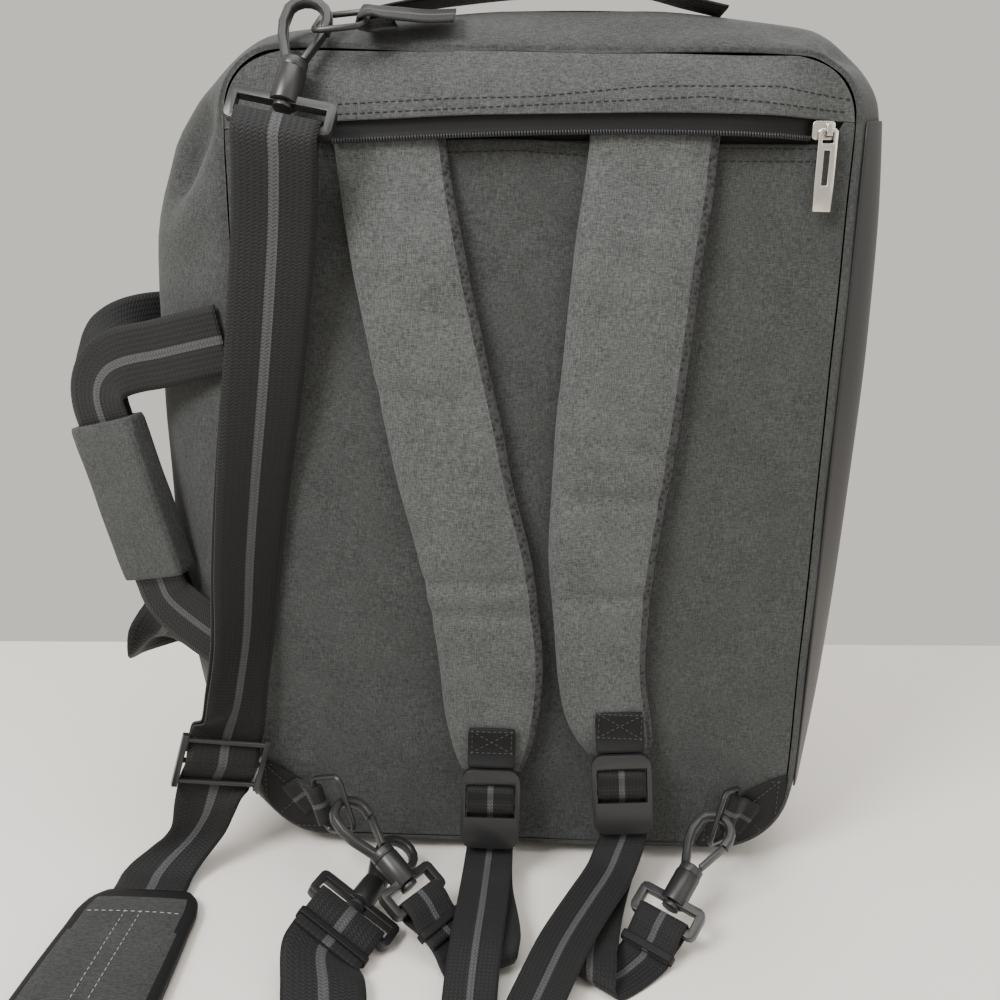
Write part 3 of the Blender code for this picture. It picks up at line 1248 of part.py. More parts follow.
def top_link(finishes):
    """Ring on the top hook's right arm and its loop, both leaning with the slope behind the top seam."""
    wire = TOP_FITTING @ Vector((-HOOK_REACH, 0, HOOK_HEIGHT + 0.001))
    depth = BACK_Y + 0.0075
    near, far = TOP_LOOP_ROOT
    low, high = (top_surface(near * HALF_WIDTH, depth + step) for step in (-0.006, 0.006))
    slope = (high - low) / 0.012 * TOP_LOOP_LEAN
    across = unit((0, 1, slope))
    lift = Vector((0, -across.z, across.y)) * (WEB_THICKNESS + LAYER_GAP + 0.0032)
    ends = [Vector((share * HALF_WIDTH, depth, top_surface(share * HALF_WIDTH, depth))) + lift
            for share in (near, far)]
    wired_ring("top", wire, (1, 0, TOP_RING_RISE), (-TOP_RING_RISE, -TOP_RING_LEAN, 1), finishes, *ends, across)


def build():
    for old in list(bpy.data.objects):
        bpy.data.objects.remove(old)
    cloth = material("heather cloth", (0.085, 0.088, 0.088), 0.9)
    vinyl = material("side vinyl", (0.022, 0.022, 0.024), 0.5)
    web = material("striped webbing", (0.016, 0.016, 0.018), 0.8)
    plastic = material("black plastic", (0.02, 0.02, 0.022), 0.35)
    hook = material("hook plastic", (0.035, 0.035, 0.038), 0.4)
    metal = material("zip metal", (0.55, 0.52, 0.48), 0.3, 1.0)
    tape = material("zip tape", (0.012, 0.012, 0.013), 0.8)
    finishes = {"plastic": plastic, "hook": hook, "webbing": web}

    main_shell(cloth)
    gusset_band("vinyl_side", VINYL_FIRST, VINYL_LAST, [s for s, _ in DEPTH_ROWS[1:-1]],
                CLEAR, CLEAR + VINYL_THICKNESS, vinyl)
    reach = MAIN_ZIP_WIDTH / BAG_DEPTH / 2
    gusset_band("main_zip", ZIP_FIRST, ZIP_LAST, [ZIP_SHARE - reach, ZIP_SHARE + reach],
                CLEAR, CLEAR + MAIN_ZIP_THICKNESS, tape)
    zip_end_tab(cloth)
    back_wall(cloth)
    pocket_panel(cloth)
    pocket_yoke(cloth)
    zip_tape("zip_tape_upper", True, tape)
    zip_tape("zip_tape_lower", False, tape)
    zip_slider(metal)
    zip_pull(metal)

    locks = {}
    for side, rows, turn in (("left", LEFT_PAD_ROWS, 0.0), ("right", RIGHT_PAD_ROWS, math.radians(4))):
        shoulder_pad("pad_" + side, rows, cloth)
        locks[side] = lock_frame(rows, math.radians(-8), turn)
        ladder_lock("ladder_lock_" + side, locks[side], plastic)
        pad_tab("pad_tab_" + side, rows, locks[side], web)

    for tag, size, frame in (("hook_left", STRAP_WEB, LEFT_FITTING), ("hook_right", STRAP_WEB, RIGHT_FITTING),
                             ("sling_hook_top", SLING_WEB, TOP_FITTING),
                             ("sling_hook_free", SLING_WEB, FREE_FITTING)):
        fitting(tag, size, frame, finishes)
    strap("strap_left", LEFT_FITTING, 0.024, LEFT_LOOP, locks["left"], LEFT_TAIL, web)
    strap("strap_right", RIGHT_FITTING, 0.019, RIGHT_LOOP, locks["right"], RIGHT_TAIL, web)
    keeper("keeper_left", LEFT_FITTING, STRAP_WEB, web)
    keeper("keeper_right", RIGHT_FITTING, STRAP_WEB, web)
    keeper("keeper_sling", FREE_FITTING, SLING_WEB, web)

    sling_slider(plastic)
    sling_strap_front(web)
    sling_pad(cloth)
    sling_strap_back(web)

    side_handle("side_handle_back", HANDLE_BACK, web)
    side_handle("side_handle_front", HANDLE_FRONT, web)
    side_handle_grip(cloth)
    top_handle(web)

    corner_patch("corner_patch_left", -1, web)
    corner_patch("corner_patch_right", 1, web)
    corner_link("left", LEFT_FITTING, (-0.65, 0.63, -0.41), (-0.81, 0.70), (-0.86, 0.55), (-0.6, 0, 0.8), finishes)
    corner_link("right", RIGHT_FITTING, (0.50, 0.80, -0.34), (0.825, 0.63), (0.87, 0.53), (0.5, 0, 0.85), finishes)
    top_link(finishes)


build()
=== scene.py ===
"""Finished look of the convertible backpack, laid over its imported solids."""

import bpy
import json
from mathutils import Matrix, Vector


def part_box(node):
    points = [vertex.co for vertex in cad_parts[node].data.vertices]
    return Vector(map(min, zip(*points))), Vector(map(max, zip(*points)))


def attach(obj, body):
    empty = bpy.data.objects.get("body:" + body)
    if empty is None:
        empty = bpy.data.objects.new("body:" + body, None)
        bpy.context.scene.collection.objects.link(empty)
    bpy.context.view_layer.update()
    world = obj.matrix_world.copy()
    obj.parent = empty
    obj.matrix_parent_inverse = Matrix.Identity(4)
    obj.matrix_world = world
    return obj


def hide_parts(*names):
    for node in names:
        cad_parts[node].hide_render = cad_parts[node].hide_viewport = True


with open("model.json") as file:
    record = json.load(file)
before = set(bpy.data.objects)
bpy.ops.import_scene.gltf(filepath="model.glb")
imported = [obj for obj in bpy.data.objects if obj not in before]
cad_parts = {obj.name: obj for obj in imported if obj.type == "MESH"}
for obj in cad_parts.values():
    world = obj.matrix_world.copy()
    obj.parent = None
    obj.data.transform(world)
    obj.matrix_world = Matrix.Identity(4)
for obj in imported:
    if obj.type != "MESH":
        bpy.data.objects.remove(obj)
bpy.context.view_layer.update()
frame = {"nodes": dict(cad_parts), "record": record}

import itertools
import json
import math

import bmesh
import bpy
from bpy.props import FloatProperty, FloatVectorProperty, PointerProperty
from mathutils import Matrix, Vector, noise
from mathutils.bvhtree import BVHTree

bl_info = {
    "name": "Convertible Backpack",
    "version": (1, 0, 0),
    "blender": (4, 5, 0),
    "location": "View3D > Sidebar > Backpack",
    "description": "Dresses a convertible backpack: cloth, webbing, zip, pads and hooks",
    "category": "Object",
}

NODES = frame["nodes"]
BODY_OF = {node: body for body, nodes in frame["record"]["behaviour"]["bodies"].items() for node in nodes}
MERGE = 1e-5

# Webbing, sampled along its length and across its width
WEB_STEP = 0.0022
WEB_COLUMNS = 10
SELVEDGE = 0.72

# Heathered cloth: noise scale of its threads and how far they are drawn out; the webbing's stripe
THREAD_SCALE = 2300.0
THREAD_SHARE = 0.16
STRIPE_HALF = 0.062

# Angles in degrees on soft solids: flat enough to join, true corner, and sharp shading; then on rigid ones
JOIN_FLAT = 12.0
JOIN_SHAPE = 40.0
TRUE_CORNER = 38.0
SOFT_SHARP = 50.0
RIGID_FLAT = 0.5
RIGID_CORNER = 40.0
RIGID_SHARP = 42.0

# Camera of the photograph
CAMERA_PLACE = Vector((0.0028, -0.5273, 0.3428))
CAMERA_UP = Vector((-0.0264, 0.2692, 0.9627))
CAMERA_BACK = Vector((0.0321, -0.9623, 0.2699))
CAMERA_LENS = 36.0

# Dents of the cloth: ends of a crease, its depth and its half width, in metres
BAG_FOLDS = [
    ((-0.146, -0.030, 0.392), (-0.180, -0.022, 0.350), 0.0100, 0.0075),
    ((-0.158, -0.034, 0.400), (-0.188, -0.010, 0.372), -0.0040, 0.0080),
    ((-0.150, -0.036, 0.330), (-0.186, -0.010, 0.316), 0.0034, 0.0070),
    ((-0.152, -0.036, 0.110), (-0.186, -0.020, 0.124), 0.0040, 0.0070),
    ((-0.150, -0.034, 0.072), (-0.172, -0.016, 0.084), -0.0018, 0.0060),
    ((0.110, -0.038, 0.426), (0.116, -0.022, 0.432), 0.0030, 0.0060),
    ((0.132, -0.038, 0.414), (0.142, -0.022, 0.419), 0.0034, 0.0060),
    ((0.060, -0.034, 0.428), (0.100, -0.026, 0.432), 0.0014, 0.0050),
    ((-0.070, -0.036, 0.430), (-0.020, -0.030, 0.434), 0.0014, 0.0050),
    ((0.142, -0.030, 0.385), (0.160, -0.008, 0.370), 0.0018, 0.0050),
]
PANEL_FOLDS = [
    ((-0.120, -0.043, 0.300), (-0.092, -0.043, 0.180), 0.0012, 0.0100),
    ((0.090, -0.043, 0.330), (0.110, -0.043, 0.200), 0.0012, 0.0120),
    ((-0.020, -0.043, 0.120), (0.030, -0.043, 0.090), 0.0012, 0.0100),
    ((0.080, -0.043, 0.100), (0.125, -0.043, 0.075), 0.0010, 0.0080),
    ((-0.110, -0.043, 0.090), (-0.060, -0.043, 0.066), 0.0012, 0.0090),
]
PAD_FOLDS = {
    "pad_left": [
        ((-0.070, -0.052, 0.163), (0.014, -0.052, 0.167), 0.0024, 0.0034),
        ((-0.068, -0.052, 0.146), (0.014, -0.052, 0.150), 0.0024, 0.0034),
        ((-0.082, -0.052, 0.262), (-0.020, -0.052, 0.256), 0.0012, 0.0050),
    ],
    "pad_right": [
        ((0.020, -0.052, 0.240), (0.072, -0.052, 0.233), 0.0022, 0.0036),
        ((0.016, -0.052, 0.211), (0.070, -0.052, 0.211), 0.0022, 0.0036),
        ((0.014, -0.052, 0.158), (0.066, -0.052, 0.160), 0.0024, 0.0034),
        ((0.018, -0.052, 0.226), (0.050, -0.052, 0.222), 0.0012, 0.0034),
    ],
}

# Rows of stitches on the back: (x, z) points
YOKE_STITCH = [(-0.088, 0.3915), (-0.0400, 0.3945), (0.0, 0.3958), (0.050, 0.4010), (0.108, 0.4018),
               (0.140, 0.3975)]
LIP_STITCH = [(-0.088, 0.3872), (0.012, 0.3930), (0.074, 0.3968), (0.138, 0.3922)]
POCKET_STITCHES = [
    [(-0.125, 0.3690), (-0.0394, 0.3722), (-0.0088, 0.3735), (0.0209, 0.3718), (0.0845, 0.3702),
     (0.128, 0.3708)],
    [(-0.125, 0.3745), (-0.0394, 0.3777), (-0.0088, 0.3788), (0.0209, 0.3772), (0.0845, 0.3757),
     (0.128, 0.3762)],
]
STITCH_LIFT = 0.0002

# Coil of the pocket's zip: its turns, and how its line is found on a tape
COIL_LENGTH = 0.0022
COIL_THICKNESS = 0.0009
COIL_HALF = 0.0011
COIL_BAND = 0.0025
COLUMN_GAP = 0.004

# Pads: columns across a face, roundness of the edges, where the under side begins (higher on the right side, where
# the dark mesh is partly painted shade away from the key light), width of the binding
PAD_COLUMNS = 28
PAD_ROLL = 3.2
PAD_UNDER = 0.45
RIGHT_MESH_AND_SHADE = 0.62
BINDING = 0.0052

# Stitches of the sling strap's pad: from its end, half of the cross row, half between the long rows
CUSHION_END = 0.020
CUSHION_HALF = 0.022
CUSHION_ROW = 0.004

# Table: half its width, and how far behind the bag it ends on the left and on the right
TABLE_REACH = 3.0
TABLE_END_LEFT = 0.055
TABLE_END_RIGHT = 0.445
# Lamps: name, place, size and power
LAMPS = (("key", (-0.60, -0.72, 1.02), 0.45, 17.0), ("fill", (1.2, -0.9, 0.9), 1.1, 5.0),
         ("top", (0.1, -0.2, 1.3), 0.8, 8.0), ("far", (0.2, 1.6, 1.2), 1.2, 8.0))
LAMP_TARGET = Vector((0, 0, 0.2))
ROOM_COLOUR = (0.96, 0.915, 0.85, 1.0)
ROOM_STRENGTH = 0.80


class BackpackSettings(bpy.types.PropertyGroup):
    """Sizes and colours that a user would change."""

    cloth_dark: FloatVectorProperty(name="Cloth dark thread", description="Dark thread of the heathered cloth",
                                    subtype="COLOR", size=3, min=0.0, max=1.0, default=(0.0157, 0.0167, 0.0163))
    cloth_light: FloatVectorProperty(name="Cloth light thread", description="Light thread of the heathered cloth",
                                     subtype="COLOR", size=3, min=0.0, max=1.0, default=(0.0630, 0.0665, 0.0645))
    web_colour: FloatVectorProperty(name="Webbing", description="Ground colour of the webbing",
                                    subtype="COLOR", size=3, min=0.0, max=1.0, default=(0.0055, 0.0053, 0.0057))
    stripe_colour: FloatVectorProperty(name="Stripe", description="Centre stripe of the webbing",
                                       subtype="COLOR", size=3, min=0.0, max=1.0, default=(0.060, 0.059, 0.061))
    plastic_colour: FloatVectorProperty(name="Plastic", description="Moulded hooks and locks",
                                        subtype="COLOR", size=3, min=0.0, max=1.0, default=(0.016, 0.0158, 0.0163))
    metal_colour: FloatVectorProperty(name="Zip metal", description="Plating of the zip's slider and pull",
                                      subtype="COLOR", size=3, min=0.0, max=1.0, default=(0.66, 0.62, 0.57))
    stitch_length: FloatProperty(name="Stitch length", description="From one stitch to the next",
                                 unit="LENGTH", min=0.001, max=0.01, default=0.0034)
    coil_pitch: FloatProperty(name="Coil pitch", description="From one turn of the zip's coil to the next",
                              unit="LENGTH", min=0.0005, max=0.005, default=0.0013)


# Materials
def shader(name, roughness, metallic=0.0, colour=None, sheen=0.0, specular=0.5):
    """Material with its node tree and its shader."""
    made = bpy.data.materials.new(name)
    made.use_nodes = True
    tree = made.node_tree
    base = tree.nodes["Principled BSDF"]
    base.inputs["Roughness"].default_value = roughness
    base.inputs["Metallic"].default_value = metallic
    base.inputs["Specular IOR Level"].default_value = specular
    base.inputs["Sheen Weight"].default_value = sheen
    if sheen:
        base.inputs["Sheen Roughness"].default_value = 0.6
    if colour is not None:
        base.inputs["Base Color"].default_value = (*colour, 1.0)
    return made, tree, base


def add(tree, kind, inputs=None, **values):
    """Node with its settings; an input is a value or the socket that feeds it."""
    node = tree.nodes.new(kind)
    for key, value in values.items():
        setattr(node, key, value)
    for key, value in (inputs or {}).items():
        if isinstance(value, bpy.types.NodeSocket):
            tree.links.new(value, node.inputs[key])
        else:
            node.inputs[key].default_value = value
    return node


def streaks(tree, place, stretch, scale, detail=3.0):
    """Noise that runs along one direction, as a thread of uneven colour does."""
    turned = add(tree, "ShaderNodeMapping", {"Vector": place, "Scale": stretch})
    cloud = add(tree, "ShaderNodeTexNoise", {"Vector": turned.outputs[0], "Scale": scale, "Detail": detail,
                                             "Roughness": 0.62})
    return cloud.outputs["Fac"]


def maths(tree, operation, a, b=0.0):
    """Result of one sum on two numbers or sockets."""
    return add(tree, "ShaderNodeMath", {0: a, 1: b}, operation=operation).outputs[0]


def ramp(tree, value, stops):
    """Colour that follows a value through stops of (place, colour)."""
    node = add(tree, "ShaderNodeValToRGB", {"Fac": value})
    points = node.color_ramp.elements
    while len(points) < len(stops):
        points.new(0.5)
    for point, (place, colour) in zip(points, stops):
        point.position = place
        point.color = (*colour, 1.0)
    return node.outputs["Color"]


def bump(tree, base, height, strength, distance):
    """Height felt by the shader as relief."""
    node = add(tree, "ShaderNodeBump", {"Height": height, "Strength": strength, "Distance": distance})
    tree.links.new(node.outputs["Normal"], base.inputs["Normal"])


def blended(first, second, share):
    """Colour part of the way from one to another."""
    return tuple(a + (b - a) * share for a, b in zip(first, second))


def heathered_cloth(settings, name="heathered cloth", lighter=1.0):
    """Cloth whose dark and light threads cross, in both directions."""
    made, tree, base = shader(name, 0.93, sheen=0.10, specular=0.2)
    place = add(tree, "ShaderNodeTexCoord").outputs["Object"]
    across = streaks(tree, place, (THREAD_SHARE, 0.5, 1.0), THREAD_SCALE)
    down = streaks(tree, place, (1.0, 0.5, THREAD_SHARE), THREAD_SCALE)
    patches = streaks(tree, place, (1.0, 1.0, 1.0), 45.0, 2.0)
    both = maths(tree, "ADD", across, down)
    both = maths(tree, "ADD", both, maths(tree, "MULTIPLY", patches, 0.22))
    both = maths(tree, "MULTIPLY", both, 0.5)
    dark = tuple(c * lighter for c in settings.cloth_dark)
    light = tuple(c * lighter for c in settings.cloth_light)
    stops = [(0.40, dark), (0.53, blended(dark, light, 0.42)), (0.67, light)]
    tree.links.new(ramp(tree, both, stops), base.inputs["Base Color"])
    bump(tree, base, both, 0.35, 0.0006)
    return made


def mesh_fabric():
    """Open spacer mesh under the pads."""
    made, tree, base = shader("spacer mesh", 0.85, sheen=0.1, specular=0.3)
    place = add(tree, "ShaderNodeTexCoord").outputs["Object"]
    cells = add(tree, "ShaderNodeTexVoronoi", {"Vector": place, "Scale": 420.0}, feature="F1")
    # Colour follows the cells' depth, as the bump does: painted shade darkens each hollow of the mesh.
    stops = [(0.15, (0.004, 0.004, 0.004)), (0.6, (0.035, 0.035, 0.036))]
    tree.links.new(ramp(tree, cells.outputs["Distance"], stops), base.inputs["Base Color"])
    bump(tree, base, cells.outputs["Distance"], 0.8, 0.0012)
    return made


def webbing_cloth(settings, name="webbing", striped=True, rib=0.0017, twills=13.0):
    """Ribbed webbing; its UV map holds the share of its width and the distance along it."""
    made, tree, base = shader(name, 0.66, sheen=0.05, specular=0.28)
    parts = add(tree, "ShaderNodeSeparateXYZ", {0: add(tree, "ShaderNodeTexCoord").outputs["UV"]})
    share, along = parts.outputs[0], parts.outputs[1]
    slant = maths(tree, "MULTIPLY", maths(tree, "PINGPONG", maths(tree, "MULTIPLY", share, twills), 0.5), 1.3)
    phase = maths(tree, "ADD", maths(tree, "MULTIPLY", along, 1.0 / rib), slant)
    ribs = maths(tree, "SINE", maths(tree, "MULTIPLY", phase, 2 * math.pi))
    columns = maths(tree, "SINE", maths(tree, "MULTIPLY", share, twills * 2 * math.pi))
    height = maths(tree, "ADD", ribs, maths(tree, "MULTIPLY", columns, 0.5))
    place = add(tree, "ShaderNodeTexCoord").outputs["Object"]
    fibre_tone_and_highlight = streaks(tree, place, (1.0, 1.0, 1.0), 2200.0)
    # Colour follows the rib relief and a fine noise: painted shade in the grooves and painted highlights on the
    # ridges and noisy threads, over a random thread colour; the stripe takes the same painted shade and
    # highlights.
    weave_shade_and_highlight = maths(tree, "ADD", maths(tree, "MULTIPLY", height, 0.14), fibre_tone_and_highlight)
    ground = ramp(tree, weave_shade_and_highlight, [(0.25, tuple(c * 0.45 for c in settings.web_colour)),
                               (0.62, settings.web_colour), (0.9, tuple(c * 3.2 for c in settings.web_colour))])
    colour = ground
    if striped:
        band = ramp(tree, weave_shade_and_highlight, [(0.25, tuple(c * 0.5 for c in settings.stripe_colour)),
                                 (0.8, tuple(c * 1.25 for c in settings.stripe_colour))])
        middle = maths(tree, "ABSOLUTE", maths(tree, "SUBTRACT", share, 0.5))
        inside = maths(tree, "LESS_THAN", middle, STRIPE_HALF)
        mixed = add(tree, "ShaderNodeMix", {"Factor": inside}, data_type="RGBA")
        for socket, value in (("A_Color", ground), ("B_Color", band)):
            target = next(s for s in mixed.inputs if s.identifier == socket)
            tree.links.new(value, target)
        colour = next(s for s in mixed.outputs if s.identifier == "Result_Color")
    tree.links.new(colour, base.inputs["Base Color"])
    bump(tree, base, height, 0.35, 0.0004)
    return made


def grained(name, colour, roughness, scale, depth, specular=0.5):
    """Plain colour with a fine moulded or pressed grain."""
    made, tree, base = shader(name, roughness, colour=colour, specular=specular)
    place = add(tree, "ShaderNodeTexCoord").outputs["Object"]
    bump(tree, base, streaks(tree, place, (1.0, 1.0, 1.0), scale, 2.0), 0.25, depth)
    return made


def make_finishes(settings):
    """All the finishes of the bag, by a plain name."""
    metal, _, _ = shader("zip metal", 0.27, 1.0, settings.metal_colour)
    thread, _, _ = shader("thread", 0.7, colour=(0.016, 0.016, 0.017), specular=0.3)
    pale, _, _ = shader("pale thread", 0.7, colour=(0.30, 0.30, 0.29), specular=0.3)
    dark, _, _ = shader("dark stitch", 0.7, colour=(0.045, 0.045, 0.046), specular=0.3)
    coil, _, _ = shader("zip coil", 0.4, colour=(0.010, 0.010, 0.011))
    lighter = tuple(c * 1.25 for c in settings.plastic_colour)
    return {
        "cloth": heathered_cloth(settings),
        "pad cloth": heathered_cloth(settings, "pad cloth", 1.72),
        # The yoke's copy of the cloth is lighter as painted light, for the lamps' light falling on its slope.
        "yoke cloth painted light": heathered_cloth(settings, "yoke cloth painted light", 1.38),
        "sling cloth": heathered_cloth(settings, "sling cloth", 0.72),
        "mesh": mesh_fabric(),
        "web": webbing_cloth(settings),
        "tape": webbing_cloth(settings, "binding tape", False, 0.0013, 5.0),
        "band": grained("woven band", tuple(settings.web_colour), 0.68, 1300.0, 0.0006, 0.3),
        "vinyl": grained("side vinyl", (0.011, 0.011, 0.012), 0.46, 700.0, 0.0003),
        "plastic": grained("moulded plastic", tuple(settings.plastic_colour), 0.36, 1500.0, 0.00008),
        "hook": grained("hook plastic", lighter, 0.38, 1500.0, 0.00008),
        "metal": metal,
        "thread": thread,
        "pale thread": pale,
        "dark stitch": dark,
        "coil": coil,
    }


FINISHES = {}


# Meshes
def merged(node):
    """A CAD node's mesh with its loose triangles joined."""
    shape = bmesh.new()
    shape.from_mesh(NODES[node].data)
    bmesh.ops.remove_doubles(shape, verts=shape.verts, dist=MERGE)
    return shape


def drawn(name, shape):
    """New mesh from a bmesh, which is then freed."""
    mesh = bpy.data.meshes.new(name)
    shape.to_mesh(mesh)
    shape.free()
    return mesh


def placed(name, mesh, finishes):
    """New object in the scene with its finishes."""
    piece = bpy.data.objects.new(name, mesh)
    bpy.context.scene.collection.objects.link(piece)
    for finish in finishes:
        mesh.materials.append(finish)
    return piece


def solved(piece):
    """The piece's modifiers worked into its mesh."""
    depsgraph = bpy.context.evaluated_depsgraph_get()
    mesh = bpy.data.meshes.new_from_object(piece.evaluated_get(depsgraph))
    piece.modifiers.clear()
    old = piece.data
    piece.data = mesh
    bpy.data.meshes.remove(old)
    return piece


def settled(piece, nodes):
    """The piece takes its CAD nodes' place and moves with their body; what sinks into the floor is raised."""
    for vertex in piece.data.vertices:
        vertex.co.z = max(vertex.co.z, 0.0)
    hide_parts(*nodes)
    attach(piece, BODY_OF[nodes[0]])
    return piece


def trimmed(piece, body):
    """A piece that stands for no node, such as a row of stitches."""
    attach(piece, body)
    return piece


def pressed(mesh, folds, ripple=0.0, ripple_size=0.05, hollow=None):
    """Creases and soft ripples; both faces of a wall round a hollow move the same way, away from its middle."""
    normals = [v.normal.copy() for v in mesh.vertices]
    if hollow is not None:
        normals = [n if n.dot(v.co - hollow) > 0 else -n for n, v in zip(normals, mesh.vertices)]
    for vertex, normal in zip(mesh.vertices, normals):
        at = vertex.co
        shift = 0.0
        for first, last, depth, width in folds:
            first, last = Vector(first), Vector(last)
            run = last - first
            share = max(0.0, min(1.0, (at - first).dot(run) / run.length_squared))
            away = (at - first - run * share).length
            if away < width * 3:
                ends = min(1.0, (1.0 - abs(share * 2 - 1)) * 2 + 0.25)
                shift -= depth * math.exp(-(away / width) ** 2) * ends
        if ripple:
            shift += ripple * noise.noise(at / ripple_size)
        vertex.co = at + normal * shift
    mesh.update()


def softened(name, node, finish, levels=2, crease=0.7, folds=(), ripple=0.0, ripple_size=0.05, hollow=None):
    """A CAD solid smoothed by subdivision, with its true corners kept, and then creased."""
    shape = merged(node)
    limit = math.radians(TRUE_CORNER)
    bmesh.ops.join_triangles(shape, faces=shape.faces, angle_face_threshold=math.radians(JOIN_FLAT),
                             angle_shape_threshold=math.radians(JOIN_SHAPE))
    layer = shape.edges.layers.float.new("crease_edge")
    for edge in shape.edges:
        if len(edge.link_faces) == 2 and edge.calc_face_angle(0.0) > limit:
            edge[layer] = crease
    piece = placed(name, drawn(name, shape), [finish])
    smooth = piece.modifiers.new("Smooth", "SUBSURF")
    smooth.levels = levels
    smooth.render_levels = levels
    solved(piece)
    if folds or ripple:
        pressed(piece.data, folds, ripple, ripple_size, hollow)
    piece.data.shade_smooth()
    piece.data.set_sharp_from_angle(angle=math.radians(SOFT_SHARP))
    return piece


def moulded(name, node, finish, edge=0.0005):
    """A rigid CAD solid with eased edges."""
    shape = merged(node)
    bmesh.ops.dissolve_limit(shape, angle_limit=math.radians(RIGID_FLAT), verts=shape.verts, edges=shape.edges)
    piece = placed(name, drawn(name, shape), [finish])
    ease = piece.modifiers.new("Ease", "BEVEL")
    ease.width = edge
    ease.segments = 2
    ease.limit_method = "ANGLE"
    ease.angle_limit = math.radians(RIGID_CORNER)
    ease.use_clamp_overlap = True
    solved(piece)
    piece.data.shade_smooth()
    piece.data.set_sharp_from_angle(angle=math.radians(RIGID_SHARP))
    return settled(piece, [node])


# Webbing
def layers(shape, count):
    """Rings of a swept solid, walked from one end: every layer has the same number of corners."""
    shape.verts.ensure_lookup_table()

    def walk(seed):
        seen = set(seed)
        found = [list(seed)]
        while True:
            ahead = {e.other_vert(v) for v in found[-1] for e in v.link_edges} - seen
            if not ahead:
                return found
            seen |= ahead
            found.append(list(ahead))

    def whole(found):
        return all(len(ring) == count for ring in found) and len(found) * count == len(shape.verts)

    end = walk([shape.verts[0]])[-1]
    for corner in end + walk([end[0]])[-1]:
        near = [e.other_vert(corner) for e in corner.link_edges]
        for others in itertools.combinations(near, count - 1):
            found = walk([corner, *others])
            if whole(found):
                return [[v.co.copy() for v in ring] for ring in found]
    raise RuntimeError("no clean rings")


def sides(ring):
    """The two edges of a flat ring: the corners pair up across the thickness."""
    a = ring[0]
    mate = min(ring[1:], key=lambda p: (p - a).length)
    others = [p for p in ring[1:] if p is not mate]
    return (a, mate), tuple(others)


def edge_lines(node):
    """Middle of the left edge and of the right edge at each ring, and the thickness."""
    shape = merged(node)
    rings = layers(shape, 4)
    shape.free()
    left, right, thick = [], [], []
    for ring in rings:
        pairs = [sum(pair, Vector()) / 2 for pair in sides(ring)]
        if left and (pairs[1] - left[-1]).length < (pairs[0] - left[-1]).length:
            pairs.reverse()
        left.append(pairs[0])
        right.append(pairs[1])
        thick.append(min((pair[0] - pair[1]).length for pair in sides(ring)))
    return left, right, sorted(thick)[len(thick) // 2]


def sampled(rows, step):
    """Smooth curve through rows of numbers, parted by distance along the first three's path."""
    spans = [max(1e-6, (Vector(b[:3]) - Vector(a[:3])).length) for a, b in zip(rows, rows[1:])]
    slopes = [[(q - p) / span for p, q in zip(a, b)] for a, b, span in zip(rows, rows[1:], spans)]
    tangents = [slopes[0]]
    for i in range(1, len(rows) - 1):
        total = spans[i - 1] + spans[i]
        tangents.append([(p * spans[i] + q * spans[i - 1]) / total for p, q in zip(slopes[i - 1], slopes[i])])
    tangents.append(slopes[-1])
    line = []
    for i, span in enumerate(spans):
        parts = max(1, round(span / step))
        for k in range(parts):
            t = k / parts
            h0, h1 = 2 * t ** 3 - 3 * t ** 2 + 1, t ** 3 - 2 * t ** 2 + t
            h2, h3 = -2 * t ** 3 + 3 * t ** 2, t ** 3 - t ** 2
            line.append([h0 * p + h1 * m * span + h2 * q + h3 * n * span
                         for p, m, q, n in zip(rows[i], tangents[i], rows[i + 1], tangents[i + 1])])
    line.append(list(rows[-1]))
    return line


def ribbon(name, node, finish, step=WEB_STEP, columns=WEB_COLUMNS):
    """Webbing rebuilt along a CAD strip, with rounded edges and a UV map that runs along it."""
    left, right, thickness = edge_lines(node)
    middle = [(a + b) / 2 for a, b in zip(left, right)]
    rows = sampled([(*m, *(b - a)) for m, a, b in zip(middle, left, right)], step)
    centres = [Vector(row[:3]) for row in rows]
    spans = [Vector(row[3:]) for row in rows]
    across = [k / columns for k in range(columns + 1)]
    loop = [(u, 1) for u in across] + [(u, -1) for u in reversed(across)]
    shape = bmesh.new()
    uv = shape.loops.layers.uv.new("UVMap")
    rings = []
    travel = [0.0]
    for a, b in zip(centres, centres[1:]):
        travel.append(travel[-1] + (b - a).length)
    for i, centre in enumerate(centres):
        ahead = centres[min(i + 1, len(centres) - 1)] - centres[max(i - 1, 0)]
        out = ahead.cross(spans[i]).normalized()
        ring = []
        for u, way in loop:
            edge = abs(u - 0.5) * 2
            thin = SELVEDGE if edge > 0.99 else 1.0
            ring.append(shape.verts.new(centre + spans[i] * (u - 0.5) + out * way * thin * thickness / 2))
        rings.append(ring)
    size = len(loop)
    for i in range(len(rings) - 1):
        for j in range(size):
            k = (j + 1) % size
            face = shape.faces.new((rings[i][j], rings[i][k], rings[i + 1][k], rings[i + 1][j]))
            face.smooth = True
            for corner, (row, column) in zip(face.loops, ((i, j), (i, k), (i + 1, k), (i + 1, j))):
                corner[uv].uv = (loop[column][0], travel[row])
    for ring, row in ((rings[0][::-1], 0), (rings[-1], len(rings) - 1)):
        half = len(ring) // 2
        for j in range(half - 1):
            corners = (ring[j], ring[j + 1], ring[-j - 2], ring[-j - 1])
            face = shape.faces.new(corners)
            for corner in face.loops:
                corner[uv].uv = (0.1, travel[row])
    bmesh.ops.recalc_face_normals(shape, faces=shape.faces)
    return placed(name, drawn(name, shape), [finish])


